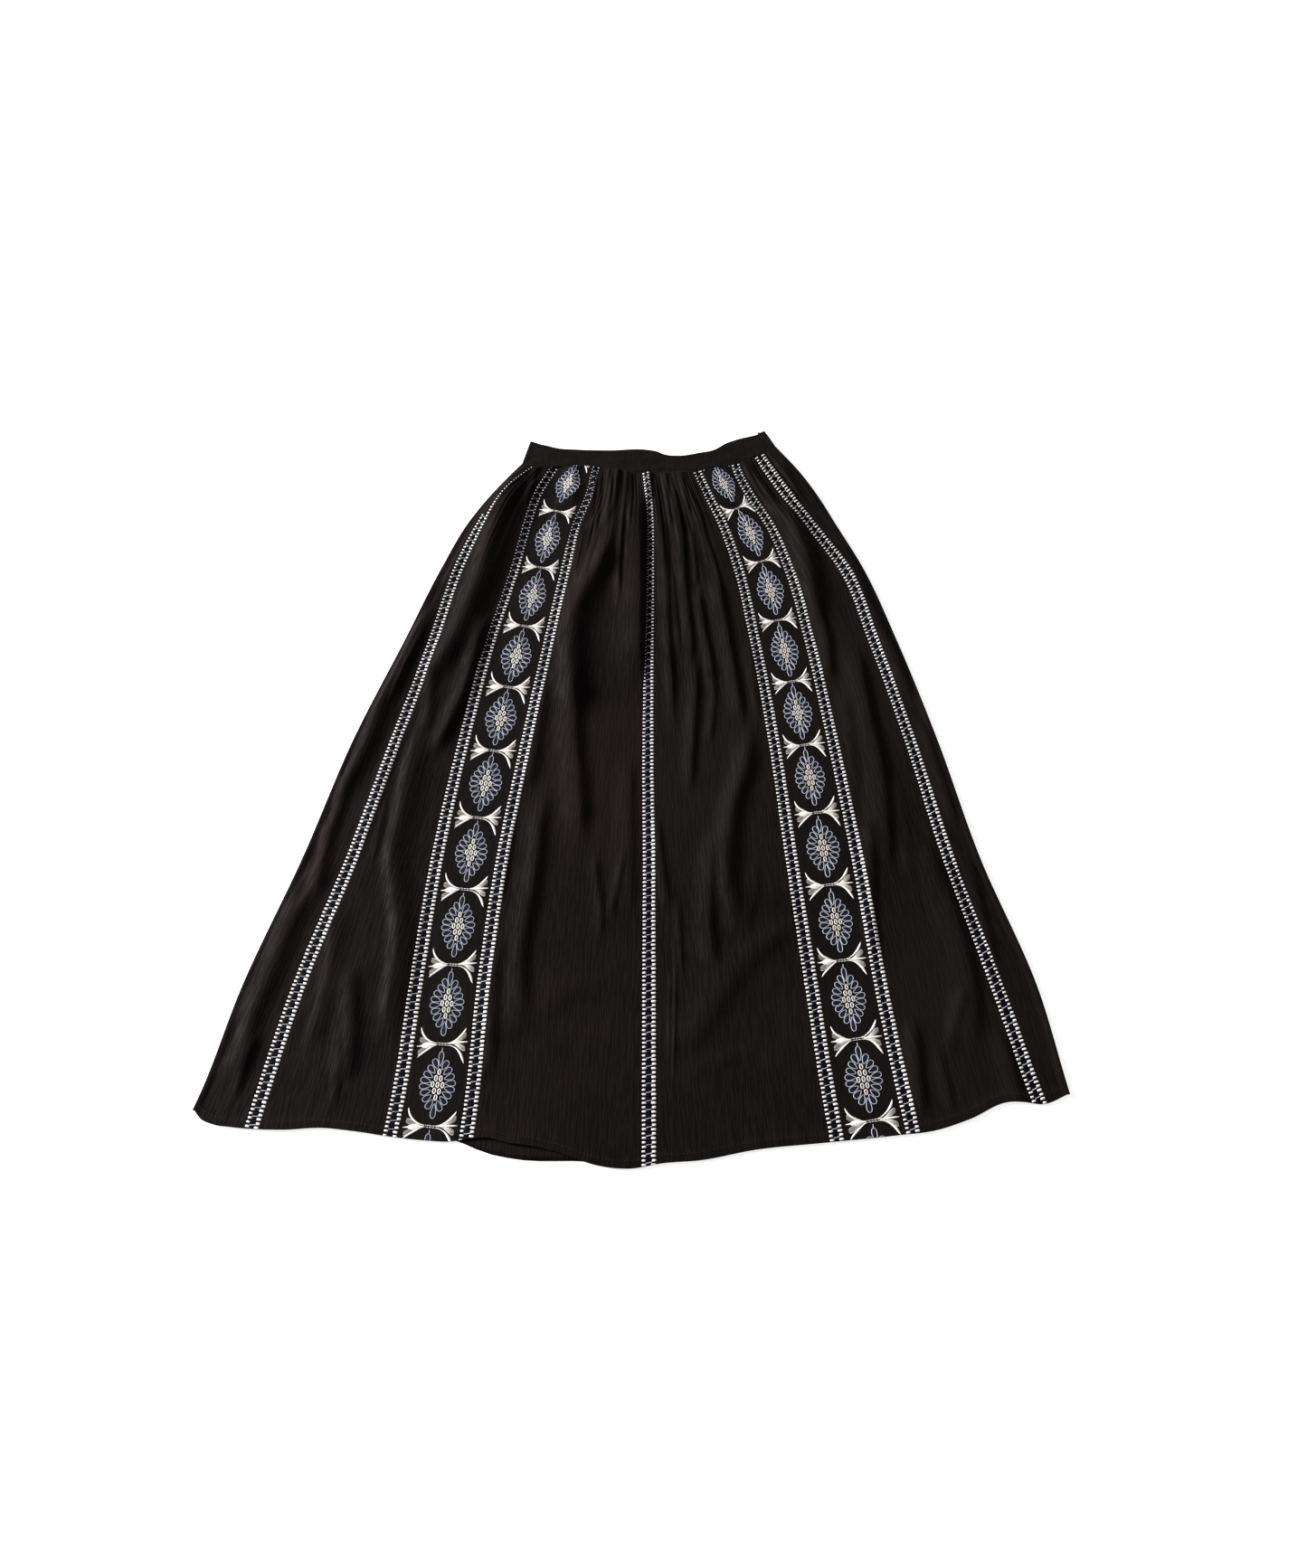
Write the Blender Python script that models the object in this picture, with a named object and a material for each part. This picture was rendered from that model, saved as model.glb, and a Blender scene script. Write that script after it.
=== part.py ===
"""A long black crinkled skirt with a gathered waist, lying flat on a surface.

The tables are in millimetres. x runs across the skirt, and below is how far a point lies down the
skirt from the level of the waist seam at the centre. In the model +X is the skirt's right as it is
looked at, +Y points from the hem to the waist, +Z is up, and z = 0 is the surface it lies on.
"""
import math

import bmesh
import bpy
import numpy as np

MM = 0.001

# Cloth, seams and folds
WALL = 1.2
WAISTBAND_WALL = 1.6
SEAM_GAP = 0.34
SIDE_GAP = 0.4
LAYER_GAP = 0.3
FOLD_INSET = 2.3
TURN_UNDER = 8.0
ROLL_SHARE = 0.6
HEM_DEPTH = 10.0
HEM_STEP = 0.8
HEM_RISE = 0.4

# Where the level "below = 0" lies along Y
SEAM_LEVEL = 426.0

# How fine the walls are
ROWS = 19
ROW_CROWDING = 1.35
COLUMNS_PER_GATHER = 3
ROLL_STEPS = 4

CLOTH_BLACK = (0.021, 0.018, 0.017)
BAND_BLACK = (0.016, 0.015, 0.017)
WAISTBAND_BLACK = (0.018, 0.016, 0.015)
CLOTH_ROUGHNESS = 0.85

# The stripes' centre lines and the two side folds, as x at each level
LINES = ("edge_left", "side_left", "band_left_outer", "band_left_inner", "centre",
         "band_right_inner", "band_right_outer", "side_right", "edge_right")
SECTIONS = (
    # below, then x of each line in LINES
    (-45, -131, -105, -91, -48, 11, 70, 130, 160, 191),
    (0, -169, -152, -116, -56, 13, 84, 139, 183, 224),
    (40, -199, -184, -134, -64, 17, 99, 156, 206, 247),
    (80, -224, -204, -144, -78, 19, 115, 177, 231, 266),
    (150, -255, -231, -158, -91, 19, 135, 201, 273, 299),
    (260, -296, -258, -185, -110, 18, 154, 224, 306, 336),
    (400, -349, -295, -211, -133, 17, 173, 246, 342, 376),
    (560, -397, -337, -235, -157, 17, 189, 268, 377, 415),
    (720, -451, -385, -250, -172, 17, 206, 286, 420, 466),
    (840, -482, -412, -260, -178, 17, 219, 303, 450, 488),
    (930, -515, -430, -273, -186, 17, 231, 318, 478, 507),
)

# The seam that joins the waistband, and the waistband's top edge
WAIST_SEAM = (
    # x, below
    (-155, -16), (-146, -12), (-103, -10), (-48, -10), (-29, -6), (-4, -1), (45, -1),
    (88, -4), (107, -9), (131, -13), (150, -21), (163, -27), (182, -36), (191, -45),
)
WAISTBAND_TOP = (
    # x, below
    (-146, -53), (-128, -47), (-111, -42), (-79, -39), (-36, -38), (13, -39), (28, -36),
    (39, -31), (58, -29), (87, -34), (107, -39), (124, -50), (139, -56), (165, -64), (177, -71),
)
# The two ends of the waistband, where it folds to the back
WAISTBAND_ENDS = (
    # x and below at its top corner, below where its seam meets the side fold
    (-146, -53, -16),
    (177, -71, -45),
)
# How much higher the back half of the waistband stands than the front half
BACK_TOP_SHOWS = ((-146, 0.0), (-128, 2.0), (-95, 1.5), (-60, 0.0), (30, 0.0), (60, 2.0), (100, 0.0),
                  (130, 1.5), (160, 2.0), (177, 0.0))

FRONT_HEM = (
    # x, below
    (-488, 856), (-479, 867), (-464, 874), (-444, 877), (-384, 880), (-344, 878), (-304, 882),
    (-263, 888), (-223, 892), (-203, 893), (-173, 889), (-158, 889), (-138, 894), (-108, 898),
    (-73, 907), (-44, 917), (-4, 922), (35, 916), (75, 913), (134, 902), (214, 894), (294, 886),
    (334, 881), (375, 868), (417, 850), (437, 850), (457, 852), (488, 840),
)
BACK_HEM = (
    # x, below
    (-488, 856), (-464, 868), (-384, 874), (-304, 877), (-223, 887), (-193, 892), (-163, 904),
    (-123, 912), (-58, 913.5), (-4, 916), (75, 908), (134, 897), (214, 889), (294, 881),
    (334, 876), (375, 863), (417, 845), (457, 846), (488, 840),
)

# The front's pieces from left to right, between neighbouring lines, with their gathers at the waist
FRONT_PIECES = (
    # name, gathers, height of a gather, how far down it runs, unevenness of their spacing, colour
    ("front_side_left", 3, 1.8, 110, 0.25, CLOTH_BLACK),
    ("front_left", 4, 2.4, 170, 0.35, CLOTH_BLACK),
    ("band_left", 2, 1.4, 70, 0.20, BAND_BLACK),
    ("front_centre_left", 7, 2.8, 190, 0.35, CLOTH_BLACK),
    ("front_centre_right", 9, 2.8, 210, 0.30, CLOTH_BLACK),
    ("band_right", 2, 1.4, 70, 0.20, BAND_BLACK),
    ("front_right", 4, 2.2, 130, 0.30, CLOTH_BLACK),
    ("front_side_right", 3, 1.8, 110, 0.25, CLOTH_BLACK),
)
# A gather's height in the seam, the depth at which it is full, and how sharply it dies away
GATHER_START = 0.35
GATHER_RISE = 28.0
GATHER_FALL = 1.4
# Neighbouring gathers differ: the shortest run and how much longer others are, the spread of
# their heights and the waves of height across a piece
GATHER_SHORTEST = 0.75
GATHER_LONGER = 0.45
GATHER_SPREAD = 0.22
GATHER_WAVES = 2.3

# The largest folds, each a ridge along three points, or a trough where its height is negative
FOLDS = (
    # name, height, width of the left flank, of the right flank, then x and below of three points
    ("left gore ridge", 9.0, 20, 11, (-152, 10), (-205, 140), (-259, 300)),
    ("left gore long ridge", 5.5, 18, 13, (-262, 350), (-288, 560), (-293, 775)),
    ("left side upper ridge", 6.5, 16, 12, (-272, 225), (-319, 345), (-350, 460)),
    ("left side lower ridge", 7.0, 18, 12, (-386, 590), (-420, 700), (-447, 810)),
    ("left side hem ridge", 3.5, 11, 11, (-352, 640), (-349, 700), (-362, 780)),
    ("left gore hem ridge", 4.0, 12, 12, (-304, 700), (-305, 750), (-308, 800)),
    ("left centre broad ridge", 8.0, 26, 16, (-46, 90), (-84, 255), (-88, 440)),
    ("left centre pleat", 4.5, 6, 5, (-20, 25), (-19, 90), (-24, 160)),
    ("left centre low ridge", 4.5, 18, 13, (-124, 520), (-134, 605), (-136, 700)),
    ("trough beside the centre", -3.0, 7, 7, (36, 20), (40, 90), (43, 160)),
    ("right centre upper ridge", 4.5, 14, 10, (70, 190), (76, 300), (66, 430)),
    ("right centre inner ridge", 4.5, 14, 10, (114, 200), (124, 310), (112, 440)),
    ("right centre low ridge", 3.5, 18, 12, (84, 500), (76, 600), (82, 710)),
    ("right centre slant", 3.0, 14, 10, (158, 660), (118, 715), (66, 770)),
    ("right gore ridge", 7.5, 15, 11, (172, 25), (214, 95), (244, 235)),
    ("right gore broad ridge", 5.0, 22, 15, (272, 270), (286, 370), (286, 500)),
    ("right gore low ridge", 3.5, 16, 12, (274, 540), (270, 620), (276, 700)),
    ("right side ridge", 5.0, 14, 10, (284, 130), (318, 245), (352, 380)),
    ("right side low trough", -3.0, 14, 14, (376, 620), (396, 715), (404, 810)),
    ("right gore hem ridge", 4.0, 14, 12, (340, 720), (346, 780), (350, 850)),
)
FOLD_END_FADE = 0.28

# The general swell of the front over the back, from the gathers' bulk down to the hem
SWELL_AT_WAIST = 1.6
SWELL_REACH = 260.0
SWELL_AT_HEM = 0.1
# How softly a trough comes to rest on the back
SETTLE = 0.35
# Where the front comes down to its side folds: the width of the slope and its flat share
EDGE_FADE = 16.0
EDGE_FLAT = 0.15

# Places of the back's columns, counted across the lines as on the front
BACK_PLACES = (0, 1, 2, 2.6, 3, 3.12, 3.25, 3.5, 3.75, 4, 4.5, 5, 6, 7, 8)
WAISTBAND_ROWS = 3
# The waistband's swell over its seam, and its soft ripples' share of it and lengths
WAISTBAND_SWELL = 0.8
RIPPLE = 0.4
RIPPLE_LENGTHS = (23, 61)

# The undersides of the front's layers, clear of the back's
LAST_LINE = len(LINES) - 1
FRONT_LOWEST = WALL + LAYER_GAP
WAISTBAND_LOWEST = WAISTBAND_WALL + LAYER_GAP
# How far in from a side fold the back's edge lies, clear of the cloth turned under
BACK_INSET = FOLD_INSET + TURN_UNDER + SIDE_GAP

# Small steps for finding a surface's direction, and tries for finding where two lines meet
DIFFERENCE_STEP = 0.002
MEETING_TRIES = 14


def clear_scene():
    for thing in list(bpy.data.objects):
        bpy.data.objects.remove(thing, do_unlink=True)


def smooth_step(share):
    share = np.clip(share, 0.0, 1.0)
    return share * share * (3.0 - 2.0 * share)


def smooth_read(stations, values, at):
    """Reads a table at any place along it, on a smooth curve through its rows."""
    stations = np.asarray(stations, float)
    values = np.asarray(values, float)
    slopes = np.gradient(values, stations)
    at = np.clip(at, stations[0], stations[-1])
    row = np.clip(np.searchsorted(stations, at) - 1, 0, len(stations) - 2)
    span = stations[row + 1] - stations[row]
    t = (at - stations[row]) / span
    blend = smooth_step(t)
    start_pull = t * (1 - t) ** 2 * span * slopes[row]
    end_pull = t * t * (t - 1) * span * slopes[row + 1]
    return values[row] * (1 - blend) + values[row + 1] * blend + start_pull + end_pull


def read_curve(curve, x):
    return smooth_read([point[0] for point in curve], [point[1] for point in curve], x)


def line_x(line, below):
    """x of one of LINES at the levels given."""
    return smooth_read([row[0] for row in SECTIONS], [row[line + 1] for row in SECTIONS], below)


def waistband_end_x(end, below):
    """x of the waistband's left (0) or right (1) end, which runs on into the skirt's side fold."""
    top_x, top, seam = WAISTBAND_ENDS[end]
    line = LAST_LINE * end
    seam_x = line_x(line, seam)
    upper = top_x + (seam_x - top_x) * (below - top) / (seam - top)
    return np.where(below < seam, upper, line_x(line, below))


def waistband_x(share, below, inset):
    """x at a share of the waistband's width, with both ends taken in by the inset."""
    left = waistband_end_x(0, below) + inset
    right = waistband_end_x(1, below) - inset
    return left + (right - left) * share


def across_x(place, below, inset):
    """x at a place across the front: 0 is the left edge line, 1 the next line, and so on."""
    piece = np.clip(np.floor(place), 0, LAST_LINE - 1).astype(int)
    lines = np.array([line_x(line, below) for line in range(len(LINES))])
    lines[0] += inset
    lines[-1] -= inset
    left = np.take_along_axis(lines, piece[None], 0)[0]
    right = np.take_along_axis(lines, piece[None] + 1, 0)[0]
    return left + (right - left) * (place - piece)


def level_on(curve, x_at_level, shape):
    """The level at which a line, given as x at each level, meets a curve such as the hem."""
    below = np.full(shape, float(curve[len(curve) // 2][1]))
    for _ in range(MEETING_TRIES):
        below = (below + read_curve(curve, x_at_level(below))) / 2
    return below


def gathered_place(place):
    """Where a place lies once its piece's gathers are unevenly spaced."""
    piece = np.clip(np.floor(place), 0, LAST_LINE - 1).astype(int)
    share = place - piece
    unevenness = np.array([row[4] for row in FRONT_PIECES])[piece]
    wave = np.sin(2 * math.pi * share + piece)
    return place + unevenness * wave * share * (1 - share)


def gather_height(place, depth):
    """Height of the gathers at a place across the front and a depth below the waist seam."""
    piece = np.clip(np.floor(place), 0, LAST_LINE - 1).astype(int)
    share = place - piece
    count, height, run = np.array([row[1:4] for row in FRONT_PIECES], float)[piece].transpose(2, 0, 1)
    rise = GATHER_START + (1 - GATHER_START) * smooth_step(depth / GATHER_RISE)
    own_run = run * (GATHER_SHORTEST + GATHER_LONGER * np.sin(math.pi * count * share / 2 + piece) ** 2)
    fall = np.exp(-(np.clip(depth - GATHER_RISE, 0, None) / own_run) ** GATHER_FALL)
    wave = np.sin(2 * math.pi * GATHER_WAVES * share + piece)
    own_height = height * (1 - GATHER_SPREAD + GATHER_SPREAD * wave)
    return own_height * rise * fall * (1 - np.cos(2 * math.pi * count * share)) / 2


def fold_height(x, below):
    """The sum of the large folds at a point of the front."""
    total = np.zeros(x.shape)
    for name, height, left_width, right_width, *path in FOLDS:
        levels = [point[1] for point in path]
        along = (below - levels[0]) / (levels[-1] - levels[0])
        crest = smooth_read(levels, [point[0] for point in path], below)
        slant = (path[-1][0] - path[0][0]) / (levels[-1] - levels[0])
        offset = (x - crest) / math.hypot(1.0, slant)
        width = np.where(offset < 0, left_width, right_width)
        fade = smooth_step(along / FOLD_END_FADE) * smooth_step((1 - along) / FOLD_END_FADE)
        total += height * fade * np.exp(-(offset / width) ** 2)
    return total


def side_fold(share, wall):
    """The mid-surface where cloth folds round to the back, in from its outermost point and up.

    share is 0 at the top of the fold and 1 at the end of the cloth turned under it.
    """
    angle = math.pi * np.clip(share / ROLL_SHARE, 0, 1)
    flat = np.clip((share - ROLL_SHARE) / (1 - ROLL_SHARE), 0, 1)
    radius = FOLD_INSET - wall / 2
    inward = FOLD_INSET - radius * np.sin(angle) + TURN_UNDER * flat
    height = wall / 2 + radius * (1 + np.cos(angle))
    return inward, height


def with_side_folds(x, height, place, last_place, left_edge, right_edge, wall):
    """Brings a layer down to its two side folds and rolls what lies past them underneath."""
    fold_top = side_fold(0.0, wall)[1]
    room = np.minimum(x - left_edge, right_edge - x) / EDGE_FADE
    nearness = 1 - smooth_step((room - EDGE_FLAT) / (1 - EDGE_FLAT))
    height = height + (fold_top - height) * nearness
    past = np.clip(np.maximum(-place, place - last_place), 0, 1)
    inward, rolled = side_fold(past, wall)
    x = np.where(place < 0, left_edge + inward, x)
    x = np.where(place > last_place, right_edge - inward, x)
    return x, np.where(past > 0, rolled, height)


def front_points(place, down):
    """Mid-surface of the front, at places across it and shares of the way down it.

    A place from -1 to 0 lies on the left side fold, and one past the last line on the right one.
    """
    on_front = np.clip(place, 0, LAST_LINE)
    line = gathered_place(on_front)
    top = level_on(WAIST_SEAM, lambda level: across_x(line, level, FOLD_INSET), line.shape)
    bottom = level_on(FRONT_HEM, lambda level: across_x(line, level, FOLD_INSET), line.shape)
    top = top + SEAM_GAP / 2
    below = top + (bottom - top) * down
    x = across_x(line, below, FOLD_INSET)
    depth = below - top
    swell = SWELL_AT_HEM + (SWELL_AT_WAIST - SWELL_AT_HEM) * np.exp(-(depth / SWELL_REACH) ** 2)
    raised = swell + fold_height(x, below) + gather_height(on_front, depth)
    settled = SETTLE * np.log1p(np.exp(raised / SETTLE))
    x, height = with_side_folds(
        x, FRONT_LOWEST + WALL / 2 + settled, place, LAST_LINE,
        line_x(0, below), line_x(LAST_LINE, below), WALL)
    return np.stack([x, SEAM_LEVEL - below, height], axis=-1)


def waistband_points(place, down):
    """Mid-surface of the waistband's front half, from its top edge down to its seam."""
    share = np.clip(place, 0, 1)
    top = level_on(WAISTBAND_TOP, lambda level: waistband_x(share, level, FOLD_INSET), share.shape)
    bottom = level_on(WAIST_SEAM, lambda level: waistband_x(share, level, FOLD_INSET), share.shape)
    below = top + (bottom - SEAM_GAP / 2 - top) * down
    x = waistband_x(share, below, FOLD_INSET)
    short, long = RIPPLE_LENGTHS
    ripple = 1 + RIPPLE * np.sin(x / short) * np.cos(x / long + 2 * down)
    swell = WAISTBAND_SWELL * (1 + down) / 2 * ripple
    x, height = with_side_folds(
        x, WAISTBAND_LOWEST + WAISTBAND_WALL / 2 + swell, place, 1,
        waistband_end_x(0, below), waistband_end_x(1, below), WAISTBAND_WALL)
    return np.stack([x, SEAM_LEVEL - below, height], axis=-1)


def waistband_shares(places, inset):
    """Shares of the waistband's width at which places across the skirt meet the waist seam."""
    line = np.asarray(places, float)[None]
    seam = level_on(WAIST_SEAM, lambda level: across_x(line, level, inset), line.shape)
    left = waistband_x(0, seam, inset)
    right = waistband_x(1, seam, inset)
    return ((across_x(line, seam, inset) - left) / (right - left))[0]


def sampled(points, places, shares):
    """Points of a surface and its outward directions, on a grid of shares down and places across."""
    place, share = np.meshgrid(np.asarray(places, float), np.asarray(shares, float))
    across = points(place + DIFFERENCE_STEP, share) - points(place - DIFFERENCE_STEP, share)
    along = points(place, share + DIFFERENCE_STEP) - points(place, share - DIFFERENCE_STEP)
    outward = np.cross(along, across)
    outward[0, :, 1] = 0.0
    outward[-1, :, 1] = 0.0
    outward /= np.linalg.norm(outward, axis=-1, keepdims=True)
    return points(place, share), outward


def cloth_material(name, colour):
    material = bpy.data.materials.new(name)
    material.use_nodes = True
    shader = material.node_tree.nodes["Principled BSDF"]
    shader.inputs["Base Color"].default_value = (*colour, 1.0)
    shader.inputs["Roughness"].default_value = CLOTH_ROUGHNESS
    shader.inputs["Metallic"].default_value = 0.0
    return material


def rim_path(rows, columns):
    """The grid positions round a layer's edge, clockwise as seen from outside."""
    last_row = rows - 1
    last_column = columns - 1
    path = [(0, column) for column in range(last_column)]
    path += [(row, last_column) for row in range(last_row)]
    path += [(last_row, column) for column in range(last_column, 0, -1)]
    path += [(row, 0) for row in range(last_row, 0, -1)]
    return path


def build_wall(name, outer, inner, colour):
    """Closes two grids of points, in millimetres, into one wall with a rim all round."""
    rows, columns = outer.shape[:2]
    shape = bmesh.new()
    layers = [[[shape.verts.new(point * MM) for point in row] for row in grid] for grid in (outer, inner)]
    for row in range(rows - 1):
        for column in range(columns - 1):
            for turn, grid in zip((1, -1), layers):
                a, b = grid[row][column:column + 2]
                d, c = grid[row + 1][column:column + 2]
                shape.faces.new((a, d, b)[::turn])
                shape.faces.new((b, d, c)[::turn])
    path = rim_path(rows, columns)
    for (row, column), (next_row, next_column) in zip(path, path[1:] + path[:1]):
        outer_start, inner_start = (grid[row][column] for grid in layers)
        outer_end, inner_end = (grid[next_row][next_column] for grid in layers)
        shape.faces.new((outer_start, outer_end, inner_start))
        shape.faces.new((outer_end, inner_end, inner_start))
    mesh = bpy.data.meshes.new(name)
    shape.to_mesh(mesh)
    shape.free()
    mesh.shade_smooth()
    mesh.set_sharp_from_angle(angle=math.radians(50))
    mesh.materials.append(cloth_material(name, colour))
    bpy.context.collection.objects.link(bpy.data.objects.new(name, mesh))


def row_shares():
    """Shares of the way down the skirt, close together at the gathers, with the hem's own rows."""
    length = FRONT_HEM[len(FRONT_HEM) // 2][1]
    hem = [1 - (HEM_DEPTH + HEM_STEP) / length, 1 - HEM_DEPTH / length, 1.0]
    return [(row / ROWS) ** ROW_CROWDING for row in range(ROWS)] + hem


def fold_places():
    """Places round a side fold, from next to its top to the end of the cloth turned under."""
    return [ROLL_SHARE * step / ROLL_STEPS for step in range(1, ROLL_STEPS + 1)] + [1.0]


def piece_places(number):
    """Places of a front piece's columns, so many to each gather."""
    columns = FRONT_PIECES[number][1] * COLUMNS_PER_GATHER
    return [number + column / columns for column in range(columns + 1)]


def front_piece(number):
    name = FRONT_PIECES[number][0]
    colour = FRONT_PIECES[number][-1]
    places = piece_places(number)
    first = number == 0
    last = number == LAST_LINE - 1
    if first:
        places = [-place for place in reversed(fold_places())] + places
    if last:
        places = places + [number + 1 + place for place in fold_places()]
    middle, outward = sampled(front_points, places, row_shares())
    if not first:
        middle[:, 0, 0] += SEAM_GAP / 2
    if not last:
        middle[:, -1, 0] -= SEAM_GAP / 2
    thickness = np.full(middle.shape, WALL / 2)
    on_top = [0 <= place <= LAST_LINE for place in places]
    thickness[-2:, on_top] += HEM_RISE
    build_wall(name, middle + outward * thickness, middle - outward * WALL / 2, colour)


def back_panel():
    line, down = np.meshgrid(np.array(BACK_PLACES, float), row_shares())
    top = level_on(WAIST_SEAM, lambda level: across_x(line, level, BACK_INSET), line.shape)
    bottom = level_on(BACK_HEM, lambda level: across_x(line, level, BACK_INSET), line.shape)
    top = top + SEAM_GAP / 2
    below = top + (bottom - top) * down
    layer = np.stack([across_x(line, below, BACK_INSET), SEAM_LEVEL - below, 0 * below], axis=-1)
    build_wall("back_panel", layer + (0, 0, WALL), layer, CLOTH_BLACK)


def waistband_back():
    share = waistband_shares(BACK_PLACES, BACK_INSET)
    top = level_on(WAISTBAND_TOP, lambda level: waistband_x(share, level, BACK_INSET), share.shape)
    top = top - read_curve(BACK_TOP_SHOWS, waistband_x(share, top, BACK_INSET))
    bottom = level_on(WAIST_SEAM, lambda level: waistband_x(share, level, BACK_INSET), share.shape)
    bottom = bottom - SEAM_GAP / 2
    bend_drops = [bottom[end] - WAISTBAND_ENDS[end][2] for end in (0, -1)]
    bend = bottom - bend_drops[0] - (bend_drops[1] - bend_drops[0]) * share
    below = np.stack([top, (top + bend) / 2, bend, bottom])
    layer = np.stack([waistband_x(share, below, BACK_INSET), SEAM_LEVEL - below, 0 * below], axis=-1)
    build_wall("waistband_back", layer + (0, 0, WAISTBAND_WALL), layer, WAISTBAND_BLACK)


def waistband_front():
    seam = [place for number in range(LAST_LINE) for place in piece_places(number)[:-1]] + [LAST_LINE]
    places = [-place for place in reversed(fold_places())]
    places += list(waistband_shares(gathered_place(np.array(seam, float)), FOLD_INSET))
    places += [1 + place for place in fold_places()]
    middle, outward = sampled(waistband_points, places, np.linspace(0, 1, WAISTBAND_ROWS + 1))
    half = outward * WAISTBAND_WALL / 2
    build_wall("waistband_front", middle + half, middle - half, WAISTBAND_BLACK)


clear_scene()
for piece_number in range(LAST_LINE):
    front_piece(piece_number)
back_panel()
waistband_back()
waistband_front()
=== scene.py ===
"""The finish of a long black crinkled skirt with seven embroidered ladders and two flower bands.

Sizes are in millimetres. x runs across the skirt, and below is how far a point lies down the skirt
from the level of the waist seam at the centre. Each front piece is cut to a flat shape, gathered
into the waistband and laid down, so a point also has a place across the front, from 0 at the left
side fold to 8 at the right one, with a whole number at each ladder. Left and right are those of
someone who looks at the front.
"""
import math

import bpy
import numpy as np
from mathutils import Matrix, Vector


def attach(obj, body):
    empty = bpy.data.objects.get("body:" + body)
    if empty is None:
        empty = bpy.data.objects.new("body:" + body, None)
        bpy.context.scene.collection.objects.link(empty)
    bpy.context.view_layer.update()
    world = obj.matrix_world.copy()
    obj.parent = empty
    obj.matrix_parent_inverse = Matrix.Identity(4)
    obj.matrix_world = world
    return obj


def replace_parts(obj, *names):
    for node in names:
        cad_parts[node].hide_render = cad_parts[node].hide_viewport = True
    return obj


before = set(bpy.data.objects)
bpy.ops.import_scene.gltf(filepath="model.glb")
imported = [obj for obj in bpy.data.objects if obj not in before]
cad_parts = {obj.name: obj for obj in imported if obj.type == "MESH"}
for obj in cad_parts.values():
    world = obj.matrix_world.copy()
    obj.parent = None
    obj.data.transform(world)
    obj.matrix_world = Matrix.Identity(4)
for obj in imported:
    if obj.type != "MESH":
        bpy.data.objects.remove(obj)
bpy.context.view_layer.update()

MM = 0.001

# The cloth's own thickness, and that of the two-layer waistband
CLOTH = 0.8
WAISTBAND_CLOTH = 1.3

# How the solids stand, which the cloth follows
WALL = 1.2
WAISTBAND_WALL = 1.6
LAYER_GAP = 0.3
SEAM_GAP = 0.1
SIDE_GAP = 0.4
FOLD_INSET = 2.3
TURN_UNDER = 8.0
ROLL_SHARE = 0.6
SEAM_LEVEL = 426.0
HEM_DEPTH = 10.0
HEM_STEP = 1.2
HEM_RISE = 0.4

# The stripes' centre lines and the two side folds, as x at each level
LINES = ("edge_left", "side_left", "band_left_outer", "band_left_inner", "centre",
         "band_right_inner", "band_right_outer", "side_right", "edge_right")
SECTIONS = (
    # below, then x of each line in LINES
    (-45, -131, -105, -91, -48, 11, 70, 130, 160, 191),
    (0, -169, -152, -116, -56, 13, 84, 139, 183, 224),
    (40, -199, -184, -134, -64, 17, 99, 156, 206, 247),
    (80, -224, -204, -144, -78, 19, 115, 177, 231, 266),
    (150, -255, -231, -158, -91, 19, 135, 201, 273, 299),
    (260, -296, -258, -185, -110, 18, 154, 224, 306, 336),
    (400, -349, -295, -211, -133, 17, 173, 246, 342, 376),
    (560, -397, -337, -235, -157, 17, 189, 268, 377, 415),
    (720, -451, -385, -250, -172, 17, 206, 286, 420, 466),
    (840, -482, -412, -260, -178, 17, 219, 303, 450, 488),
    (930, -515, -430, -273, -186, 17, 231, 318, 478, 507),
)
LAST_LINE = len(LINES) - 1

WAIST_SEAM = (
    # x, below
    (-155, -16), (-146, -12), (-103, -10), (-48, -10), (-29, -6), (-4, -1), (45, -1),
    (88, -4), (107, -9), (131, -13), (150, -21), (163, -27), (182, -36), (191, -45),
)
WAISTBAND_TOP = (
    # x, below
    (-146, -53), (-128, -47), (-111, -42), (-79, -39), (-36, -38), (13, -39), (28, -36),
    (39, -31), (58, -29), (87, -34), (107, -39), (124, -50), (139, -56), (165, -64), (177, -71),
)
WAISTBAND_ENDS = (
    # x and below at its top corner, below where its seam meets the side fold
    (-146, -53, -16),
    (177, -71, -45),
)
BACK_TOP_SHOWS = ((-146, 0.0), (-128, 2.0), (-95, 1.5), (-60, 0.0), (30, 0.0), (60, 2.0), (100, 0.0),
                  (130, 1.5), (160, 2.0), (177, 0.0))
FRONT_HEM = (
    # x, below
    (-488, 856), (-479, 867), (-464, 874), (-444, 877), (-384, 880), (-344, 878), (-304, 882),
    (-263, 888), (-223, 892), (-203, 893), (-173, 889), (-158, 889), (-138, 894), (-108, 898),
    (-73, 907), (-44, 917), (-4, 922), (35, 916), (75, 913), (134, 902), (214, 894), (294, 886),
    (334, 881), (375, 868), (417, 850), (437, 850), (457, 852), (488, 840),
)
BACK_HEM = (
    # x, below
    (-488, 856), (-464, 868), (-384, 874), (-304, 877), (-223, 887), (-193, 892), (-163, 904),
    (-123, 912), (-58, 913.5), (-4, 916), (75, 908), (134, 897), (214, 889), (294, 881),
    (334, 876), (375, 863), (417, 845), (457, 846), (488, 840),
)

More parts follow.
